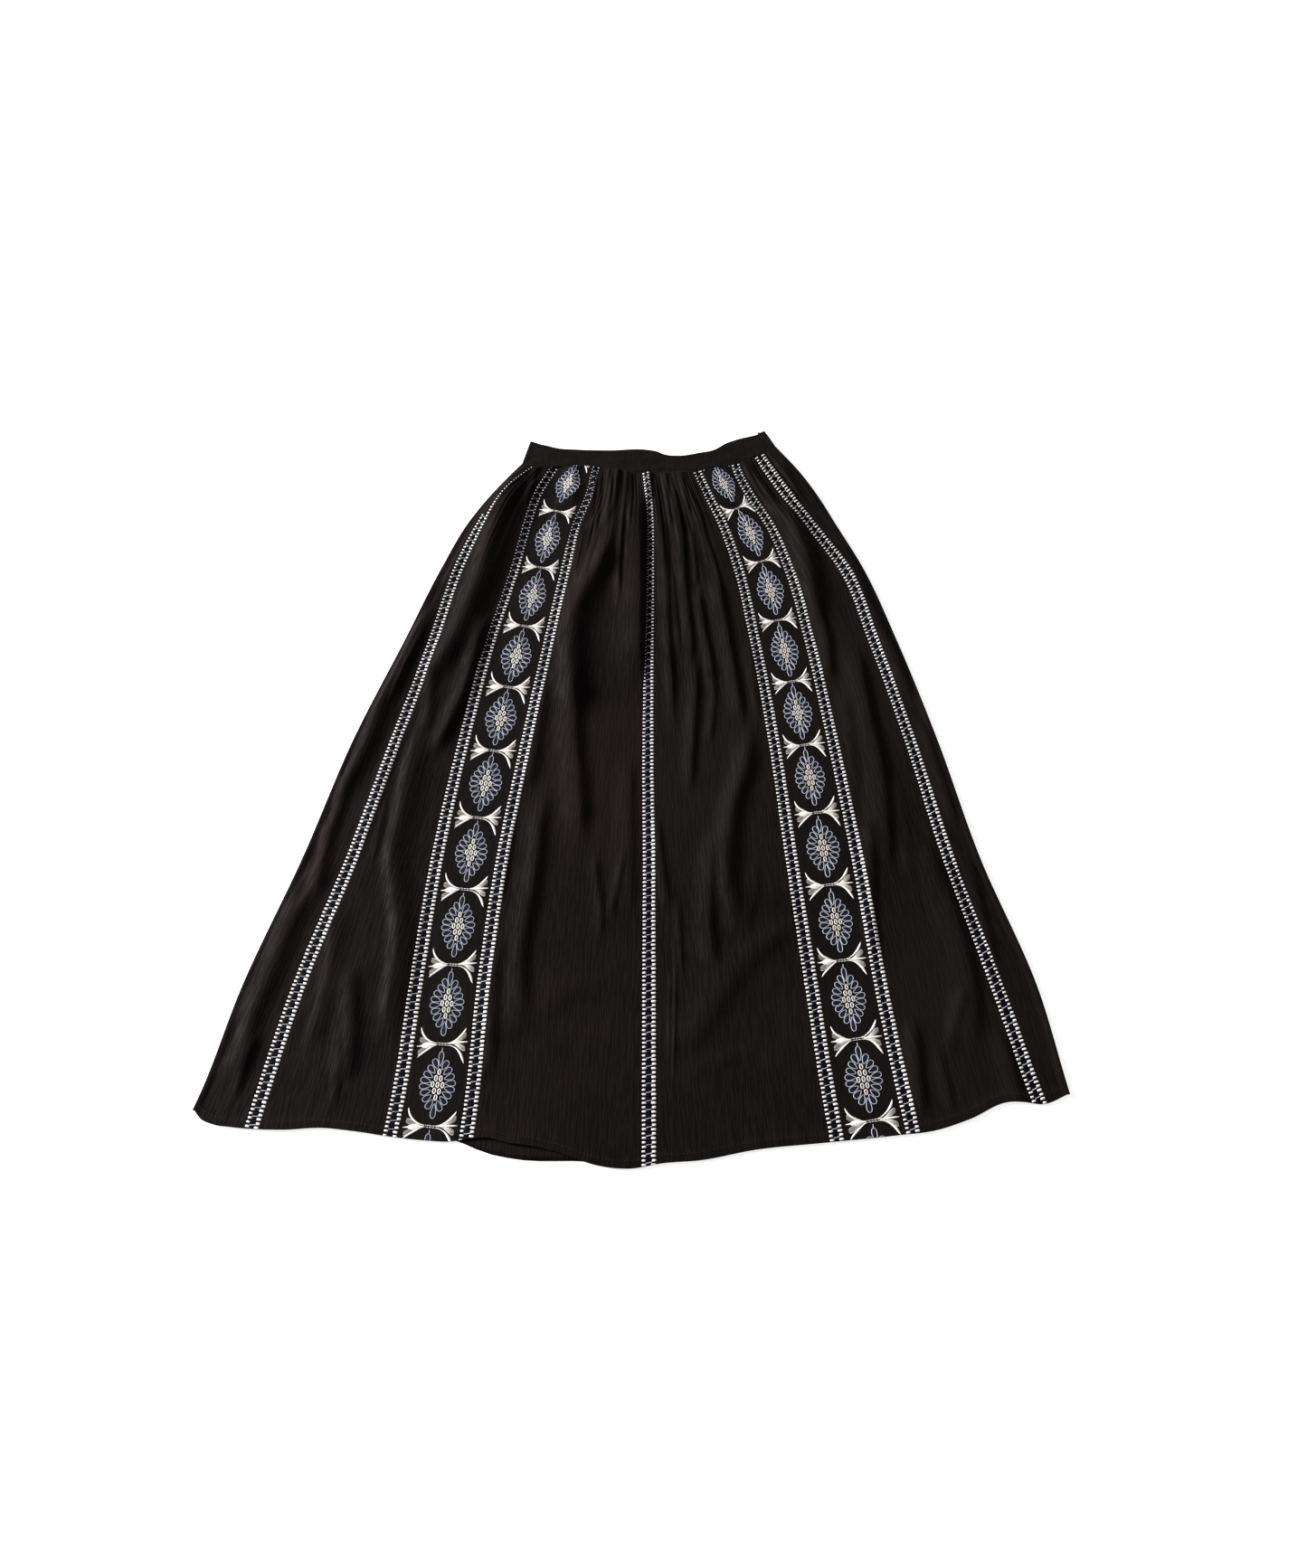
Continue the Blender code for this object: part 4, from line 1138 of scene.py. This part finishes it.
def ladder_parts(name, line, waist_share, full_down, left_from, right_from):
    """The rails, the dark middle and the rungs of one ladder."""
    draws = np.random.default_rng(40 + line)

    def scale_at(below):
        turned = waist_share + (1 - waist_share) * smooth_step(below / full_down)
        return smooth_read(*zip(*LADDER_SCALE), below) * turned

    def middle_at(below):
        shift = np.interp(below, *zip(*CENTRE_SHIFT)) if name == "centre" else 0.0
        return line_x(line, below) + shift

    route = stripe_route(middle_at, line, scale_at)
    length = route["run"][-1]
    stations = np.arange(BLOCK_PITCH / 2, length + BLOCK_PITCH, BLOCK_PITCH)
    levels = np.interp(stations, route["run"], route["below"])
    blocks = []
    for side, start, (block_width, block_length) in zip((-1, 1), (left_from, right_from), RAIL_BLOCKS):
        rail = side * (LADDER_WIDTH - block_width) / 2
        jitter = draws.uniform(-1, 1, (len(stations), 4)).T
        shown = shown_share(line, side, levels)
        short = np.arange(len(stations)) % 2 * SHORT_BLOCK
        drawn_in = np.interp(levels, *zip(*BLOCK_LENGTHS))
        drawn_in = drawn_in * (THINNED_SHORTEST + (1 - THINNED_SHORTEST) * shown)
        places = np.stack([
            rail + 0.22 * jitter[0] + side * short * block_width / 2,
            stations + 0.16 * jitter[1],
            (shown - short) * (1 + 0.04 * jitter[2]),
            drawn_in * (1 + 0.08 * jitter[3]),
            shown * (1 + 0.12 * jitter[0]),
        ], axis=1)
        blocks.append(repeated(satin_block(block_width, block_length), places[levels > start]))
    pieces = [sew_on(f"ladder_rails_{name}", route, joined(blocks), CREAM)]
    stations = np.arange(PANEL_PITCH, length + PANEL_PITCH, PANEL_PITCH)
    shown = np.interp(stations, route["run"], route["below"]) > max(left_from, right_from)
    jitter = draws.uniform(-1, 1, (len(stations), 4)).T
    panel = ribbon([(0, along) for along in (-4.2, -3.8, -1.5, 1.5, 3.8, 4.2)],
                   [1.8, 2.6, 2.8, 2.8, 2.6, 1.8], [0.1, 0.15, 0.2, 0.2, 0.15, 0.1])
    places = np.stack([0.1 * jitter[0], stations - PANEL_PITCH / 2, 1 + 0.03 * jitter[1],
                       1 + 0.03 * jitter[2], 1 + 0.1 * jitter[3]], axis=1)
    pieces.append(sew_on(f"ladder_middle_{name}", route, repeated(panel, places[shown]),
                         NAVY))
    rung = ribbon([(-RUNG_REACH - 0.6, 0.5), (-RUNG_REACH, 0.4), (-1.2, 0.25), (0.4, -0.1),
                   (RUNG_REACH - 0.6, -0.5), (RUNG_REACH + 0.6, -0.6)],
                  [0.42, 0.42, 0.38, 0.38, 0.42, 0.42], [0.25, 0.4, 0.44, 0.44, 0.4, 0.25])
    places = np.stack([0.1 * jitter[2], stations + 0.2 * jitter[3], 1 + 0.04 * jitter[0],
                       1 + 0.25 * jitter[1], 1 + 0.1 * jitter[2]], axis=1)
    pieces.append(sew_on(f"ladder_rungs_{name}", route, repeated(rung, places[shown]),
                         PALE_SLATE))
    return pieces


# The stitches along the hem

HEM_STITCH_PITCH = 4.2
HEM_STITCH_LENGTH = 2.3
HEM_STITCH_UP = 8.6
# Where a piece's first stitch stands, and how far from its end the last one stops
HEM_STITCH_ENDS = (2.6, 2.2)


def stitch(length):
    """One short straight stitch."""
    ends = np.array([-0.5, -0.35, 0.35, 0.5]) * length
    return ribbon([(at, 0.0) for at in ends], [0.2, 0.34, 0.34, 0.2], [0.05, 0.3, 0.3, 0.05])


def hem_stitches(number):
    """The row of stitches that holds the hem of one front piece."""
    node = FRONT_PIECES[number][0]
    places = np.linspace(number, number + 1, 60)
    below = np.interp(places, PLACES, HEM_LEVELS) - HEM_STITCH_UP
    x = across_x(places, below, FOLD_INSET)
    run = np.concatenate([[0], np.cumsum(np.hypot(np.diff(x), np.diff(below)))])
    first, last = HEM_STITCH_ENDS
    stations = np.arange(first, run[-1] - last, HEM_STITCH_PITCH)
    jitter = np.random.default_rng(90 + number).uniform(-1, 1, (len(stations), 3))
    spread = np.stack([stations + 0.3 * jitter[:, 0], 0.25 * jitter[:, 1], 1 + 0.12 * jitter[:, 2],
                       np.ones(len(stations)), 1 + 0.2 * jitter[:, 1]], axis=1)
    points, faces, cut = repeated(stitch(HEM_STITCH_LENGTH), spread)
    at = np.clip(points[:, 0], 0, run[-1])
    made = on_front(np.interp(at, run, x), np.interp(at, run, below) + points[:, 1], points[:, 2])
    return new_piece(f"hem_stitches_{node}", made, faces, cut, BLACK_THREAD)


# The flowers and sheaves of the two bands

# How wide a band is between its ladders' middles where its motifs have their full width
BAND_MOTIF_WIDTH = 82.0
# How far each flower's middle lies along its band, from the waist seam
FLOWER_STATIONS = {
    "band_left": (30.5, 122, 212, 303, 393, 483, 575, 668, 761, 854, 946),
    "band_right": (29, 115.5, 207, 298.5, 388, 478, 571.5, 665, 758.5, 851, 943),
}
FIRST_SHEAF = {"band_left": -8.5, "band_right": -12.0}
# How much a band's fans lean down at the left for each millimetre across
FAN_LEAN = {"band_left": 0.15, "band_right": 0.0}
# A sheaf lies this much below the middle between two flowers
SHEAF_DROP = 0.5
# How far down, and the share of a sheaf's full length there
SHEAF_LENGTHS = {
    "band_left": ((0, 0.74), (160, 0.80), (300, 1.0)),
    "band_right": ((0, 0.80), (70, 0.76), (250, 0.80), (440, 0.96), (530, 1.0)),
}
SIDE_PETALS = 8
PETAL_TIP_SPAN = 28.0
# The two sides' petals stand this much off each other
PETAL_STAGGER = 0.6
FLOWER_HALF_WIDTH = 20.5
FLOWER_HALF_LENGTH = 37.5
# Where the curves through the side petals' tips and through their feet would close
TIPS_CLOSE = 38.0
FEET_CLOSE = 21.0
FIRST_FLOWER_SHARE = 0.84
PETAL_HALF_WIDTH = 3.9
# The share of that width of the two petals at a flower's ends
END_PETAL_WIDTH = 0.90
PETAL_CORD = 0.34
HEART_HALF_WIDTH = 7.6
HEART_REACH = 0.62
HEART_CLEARANCE = 0.9
SEED_HALF_WIDTH = 1.6
SEED_HALF_LENGTH = 3.0
SEED_STRAND = 0.62
SEED_ROWS = ((-14.4, (0,)), (-7.2, (-2.8, 2.8)), (0, (-5.6, 0, 5.6)), (7.2, (-2.8, 2.8)), (14.4, (0,)))


def petal_frames():
    """The foot and tip of each petal of a flower, with the share of a petal's full width."""
    frames = [((0, end * FEET_CLOSE), (0, end * FLOWER_HALF_LENGTH), END_PETAL_WIDTH) for end in (-1, 1)]
    for side in (-1, 1):
        for number in range(SIDE_PETALS):
            level = PETAL_TIP_SPAN * (2 * number / (SIDE_PETALS - 1) - 1)
            level += PETAL_STAGGER * side
            tip = FLOWER_HALF_WIDTH * (1 - abs(level / TIPS_CLOSE) ** 1.6)
            foot_level = level * HEART_REACH
            foot = HEART_HALF_WIDTH * (1 - abs(foot_level / FEET_CLOSE) ** 1.5) + HEART_CLEARANCE
            frames.append(((side * foot, foot_level), (side * tip, level), 1.0))
    return frames


def petal(foot, tip, width):
    """A looped petal's outline, and its filled middle."""
    foot, tip = np.array(foot, float), np.array(tip, float)
    direction = (tip - foot) / np.linalg.norm(tip - foot)
    side = np.array([-direction[1], direction[0]])
    half = PETAL_HALF_WIDTH * width
    turn = np.linspace(0, 2 * math.pi, 16, endpoint=False)
    share = (1 - np.cos(turn)) / 2
    swell = np.sin(turn) * (0.42 + 0.68 * share)
    outline = foot + (tip - foot) * share[:, None] + side * (half * swell)[:, None]
    loop = ribbon(outline, PETAL_CORD, 0.5, closed=True)
    share = np.array([0.04, 0.2, 0.45, 0.7, 0.88, 0.96])
    spread = np.sqrt(share * (1 - share)) * 2 * (0.42 + 0.68 * share)
    fill = ribbon(foot + (tip - foot) * share[:, None], half * spread, 0.25)
    return loop, fill


def seed_ring(across, along):
    """One ring of the flower's heart, and its dark eye."""
    turn = np.linspace(0, 2 * math.pi, 12, endpoint=False)
    outline = np.stack([across + SEED_HALF_WIDTH * np.cos(turn), along + SEED_HALF_LENGTH * np.sin(turn)],
                       axis=1)
    ring = ribbon(outline, SEED_STRAND, 0.7, closed=True)
    eye = ribbon([(across, along + share) for share in (-2.0, -0.9, 0.9, 2.0)], [0.4, 0.9, 0.9, 0.4], 0.22)
    return ring, eye


def flower():
    """One flower as four patterns: petal outlines, their fill, seed rings and their eyes."""
    petals = [petal(*each) for each in petal_frames()]
    seeds = [seed_ring(across, along) for along, row in SEED_ROWS for across in row]
    stem = ribbon([(0.3, -41.6), (0.5, -40.6), (0.3, -39.2), (0, -37.5)], 0.38, 0.45)
    return (joined([loop for loop, fill in petals] + [stem]), joined([fill for loop, fill in petals]),
            joined([ring for ring, eye in seeds]), joined([eye for ring, eye in seeds]))


# The tan of a left fan's lobes starts this much sooner along them
LEFT_FAN_TANNED = 3.5
# The two curved horns of each fan, its two filled lobes and the spike between them
HORNS = {
    # side, up or down: across, along, half width
    (1, -1): ((2.8, 1.0, 0.35), (8.0, 1.8, 0.45), (11.5, 3.3, 0.55), (17.0, 6.8, 1.0), (21.7, 11.4, 1.5),
              (24.6, 16.0, 1.15), (26.1, 19.6, 0.2)),
    (1, 1): ((3.2, 1.0, 0.35), (8.0, 1.0, 0.45), (12.3, 1.9, 0.55), (17.4, 4.6, 0.95), (22.1, 9.6, 1.55),
             (25.0, 15.2, 1.35), (26.8, 20.0, 0.2)),
    (-1, -1): ((3.2, 0.8, 0.35), (8.4, 0.8, 0.5), (13.9, 2.4, 0.75), (18.9, 5.2, 1.0), (23.0, 9.4, 1.25),
               (25.6, 14.0, 0.9), (26.8, 18.0, 0.2)),
    (-1, 1): ((3.2, 0.8, 0.35), (8.0, 1.6, 0.6), (11.5, 3.8, 0.85), (16.9, 7.8, 1.15), (21.6, 11.6, 1.2),
              (24.8, 14.6, 0.85), (26.8, 17.0, 0.2)),
}
LOBES = {
    # side: across, along, half width
    1: ((10.5, 0.3, 0.4), (14.0, 1.1, 1.1), (17.5, 2.6, 1.9), (20.5, 4.2, 2.6), (23.0, 5.8, 3.0),
        (25.2, 7.2, 2.8), (26.8, 8.2, 1.1)),
    -1: ((9.0, 0.4, 0.5), (12.5, 1.4, 1.6), (16.5, 2.9, 2.5), (20.0, 4.6, 3.0), (23.0, 6.0, 3.1),
         (25.2, 7.0, 2.7), (26.8, 7.6, 1.2)),
}
SPIKE = ((11.0, 0.0, 0.5), (15.0, 0.0, 0.8), (20.0, 0.0, 1.1), (25.0, 0.0, 1.0), (29.3, 0.0, 0.3))
# The bright head where the left fan's threads are drawn together
FAN_HEAD = ((-7.0, 0.6), (-9.5, 1.4), (-12.5, 2.8), (-15.5, 3.8), (-18.5, 3.9), (-21.5, 2.7), (-24.5, 0.8))
FAN_FOOT = ((8.6, 0.5), (10.6, 0.9), (13.0, 1.2), (16.0, 1.6), (19.5, 1.5), (22.5, 0.5))
# How far across the points of the two tie bars lie, and the dark wraps round them
TIE_BARS = (-6.7, -3.0, 1.0, 5.0, 10.5)
TIE_WRAPS = (-6.0, -4.4, -1.6, 1.8, 5.2)


def strand_path(rows, side, up, lean=0.0):
    """A row table as a path on one side, and its half widths."""
    rows = np.array(rows)
    stations = np.arange(len(rows))
    finer = np.linspace(0, len(rows) - 1, 2 * len(rows) - 1)
    across, along, half = (smooth_read(stations, column, finer) for column in rows.T)
    return np.stack([side * across, up * along - lean * side * across], axis=1), half


def fan(side, lean):
    """One half of a sheaf: two curved horns, and two filled lobes and a spike between them."""
    cream, filled = [], []
    for up in (-1, 1):
        horn, half = strand_path(HORNS[side, up], side, up)
        cream.append(ribbon(horn, half, 0.25 + 0.35 * half))
        lobe, half = strand_path(LOBES[side], side, up, lean)
        points, faces, cut = ribbon(lobe, half, 0.4, steps=6)
        cut[:, 0] += LEFT_FAN_TANNED * (side < 0)
        filled.append((points, faces, cut))
        lip = np.stack([lobe[:, 0], lobe[:, 1] + up * half], axis=1)[4:]
        cream.append(ribbon(lip, 0.28, 0.5))
    spike, half = strand_path(SPIKE, side, 1, lean)
    cream.append(ribbon(spike, half, 0.6))
    return cream, filled


def sheaf(lean):
    """Two fans tied by a pair of bars, as cream threads, their filled lobes and dark wraps."""
    strands, filled, wraps = [], [], []
    for side in (-1, 1):
        cream, lobes = fan(side, lean)
        strands += cream
        filled += lobes
        strands.append(ribbon([(across, 1.0 * side) for across in TIE_BARS], [0.4, 0.45, 0.42, 0.45, 0.35],
                              [0.4, 0.55, 0.55, 0.55, 0.4]))
    for middle in (FAN_HEAD, FAN_FOOT):
        across, half = np.array(middle).T
        strands.append(ribbon(np.stack([across, -lean * across], axis=1), half, 0.4 + 0.12 * half))
    for across in TIE_WRAPS:
        wraps.append(ribbon([(across, -1.9), (across, -1.0), (across, 1.0), (across, 1.9)],
                            0.5, [0.5, 0.8, 0.8, 0.5]))
    return joined(strands), joined(filled), joined(wraps)


def band_parts(name, outer, inner):
    """The flowers and sheaves that run down one band."""
    draws = np.random.default_rng(70 + outer)
    left, right = min(outer, inner), max(outer, inner)
    route = stripe_route(lambda below: (line_x(left, below) + line_x(right, below)) / 2, left + 0.5,
                         lambda below: (line_x(right, below) - line_x(left, below)) / BAND_MOTIF_WIDTH)
    stations = np.array(FLOWER_STATIONS[name], float)
    flowers = len(stations)
    jitter = draws.uniform(-1, 1, (flowers, 3))
    squeeze = np.where(np.arange(flowers) == 0, FIRST_FLOWER_SHARE, 1.0)
    flower_places = np.stack([0.5 * jitter[:, 0], stations, 1 + 0.02 * jitter[:, 1], squeeze,
                              1 + 0.05 * jitter[:, 2]], axis=1)
    between = np.concatenate([[FIRST_SHEAF[name]], (stations[1:] + stations[:-1]) / 2 + SHEAF_DROP])
    sheaf_length = np.interp(between, *zip(*SHEAF_LENGTHS[name]))
    sheaf_places = np.stack([0.4 * jitter[:, 1], between, np.ones(flowers), sheaf_length,
                             1 + 0.05 * jitter[:, 0]], axis=1)
    outlines, fills, rings, eyes = flower()
    strands, lobes, wraps = sheaf(FAN_LEAN[name])
    return [
        sew_on(f"petal_loops_{name}", route, repeated(outlines, flower_places), PALE_SLATE),
        sew_on(f"petal_fill_{name}", route, repeated(fills, flower_places), SLATE),
        sew_on(f"seed_rings_{name}", route, repeated(rings, flower_places), SEED_THREADS[name]),
        sew_on(f"seed_eyes_{name}", route, repeated(eyes, flower_places), TAN),
        sew_on(f"sheaves_{name}", route, repeated(strands, sheaf_places), CREAM),
        sew_on(f"sheaf_lobes_{name}", route, repeated(lobes, sheaf_places), FAN_CREAM),
        sew_on(f"sheaf_wraps_{name}", route, repeated(wraps, sheaf_places), NAVY),
    ]


# The studio

TARGET = Vector((0.0236114, -0.035124, 0.0))
CAMERA_DISTANCE = 1.7108
CAMERA_ELEVATION = math.radians(66)
LENS = 32.0
LONG_SIDE = 36.0
# Where the key light stands, its side in metres and its power in watts
KEY_LIGHT = ((-6.6, 2.2, 2.7), 2.4, 1750.0)
FLOOR_TONE = 0.93
FLOOR_GLOW = 0.75
ROOM_GLOW = 0.22


def studio():
    """A pale floor, a broad soft light from the left, and the camera above the hem."""
    scene = bpy.context.scene
    half = FLOOR_SIDE / 2
    floor_mesh = bpy.data.meshes.new("floor")
    floor_mesh.from_pydata([(-half, -half, -FLOOR_DROP), (half, -half, -FLOOR_DROP),
                            (half, half, -FLOOR_DROP), (-half, half, -FLOOR_DROP)], [], [(0, 1, 2, 3)])
    floor = bpy.data.objects.new("floor", floor_mesh)
    scene.collection.objects.link(floor)
    pale = bpy.data.materials.new("pale floor")
    pale.use_nodes = True
    shader = pale.node_tree.nodes["Principled BSDF"]
    shader.inputs["Base Color"].default_value = (FLOOR_TONE, FLOOR_TONE, FLOOR_TONE, 1.0)
    shader.inputs["Roughness"].default_value = 0.9
    shader.inputs["Specular IOR Level"].default_value = 0.1
    shader.inputs["Emission Color"].default_value = (1.0, 1.0, 1.0, 1.0)
    shader.inputs["Emission Strength"].default_value = FLOOR_GLOW
    floor_mesh.materials.append(pale)
    place, side, power = KEY_LIGHT
    lamp = bpy.data.lights.new("key light", "AREA")
    lamp.shape = "SQUARE"
    lamp.size = side
    lamp.energy = power
    holder = bpy.data.objects.new("key light", lamp)
    holder.location = place
    holder.rotation_mode = "QUATERNION"
    holder.rotation_quaternion = (TARGET - Vector(place)).to_track_quat("-Z", "Y")
    scene.collection.objects.link(holder)
    world = bpy.data.worlds.new("studio")
    world.use_nodes = True
    world.node_tree.nodes["Background"].inputs["Color"].default_value = (1.0, 1.0, 1.0, 1.0)
    world.node_tree.nodes["Background"].inputs["Strength"].default_value = ROOM_GLOW
    scene.world = world
    lens = bpy.data.cameras.new("camera")
    lens.lens = LENS
    lens.sensor_fit = "VERTICAL"
    lens.sensor_height = LONG_SIDE
    lens.sensor_width = LONG_SIDE
    camera = bpy.data.objects.new("camera", lens)
    back = Vector((0, -math.cos(CAMERA_ELEVATION), math.sin(CAMERA_ELEVATION)))
    camera.location = TARGET + CAMERA_DISTANCE * back
    camera.rotation_mode = "QUATERNION"
    camera.rotation_quaternion = (-back).to_track_quat("-Z", "Y")
    scene.collection.objects.link(camera)
    scene.camera = camera
    scene.view_settings.view_transform = "Standard"


studio()

embroidery = {row[1]: ladder_parts(*row) for row in LADDERS}
flowers = {2: band_parts("band_left", 2, 3), 5: band_parts("band_right", 6, 5)}

for number in range(LAST_LINE):
    cloth, flat, area = front_cloth(number)
    sewn = embroidery.get(number, []) + flowers.get(number, []) + [hem_stitches(number)]
back = back_cloth()
waistband = waistband_cloth()
lining = waistband_lining()
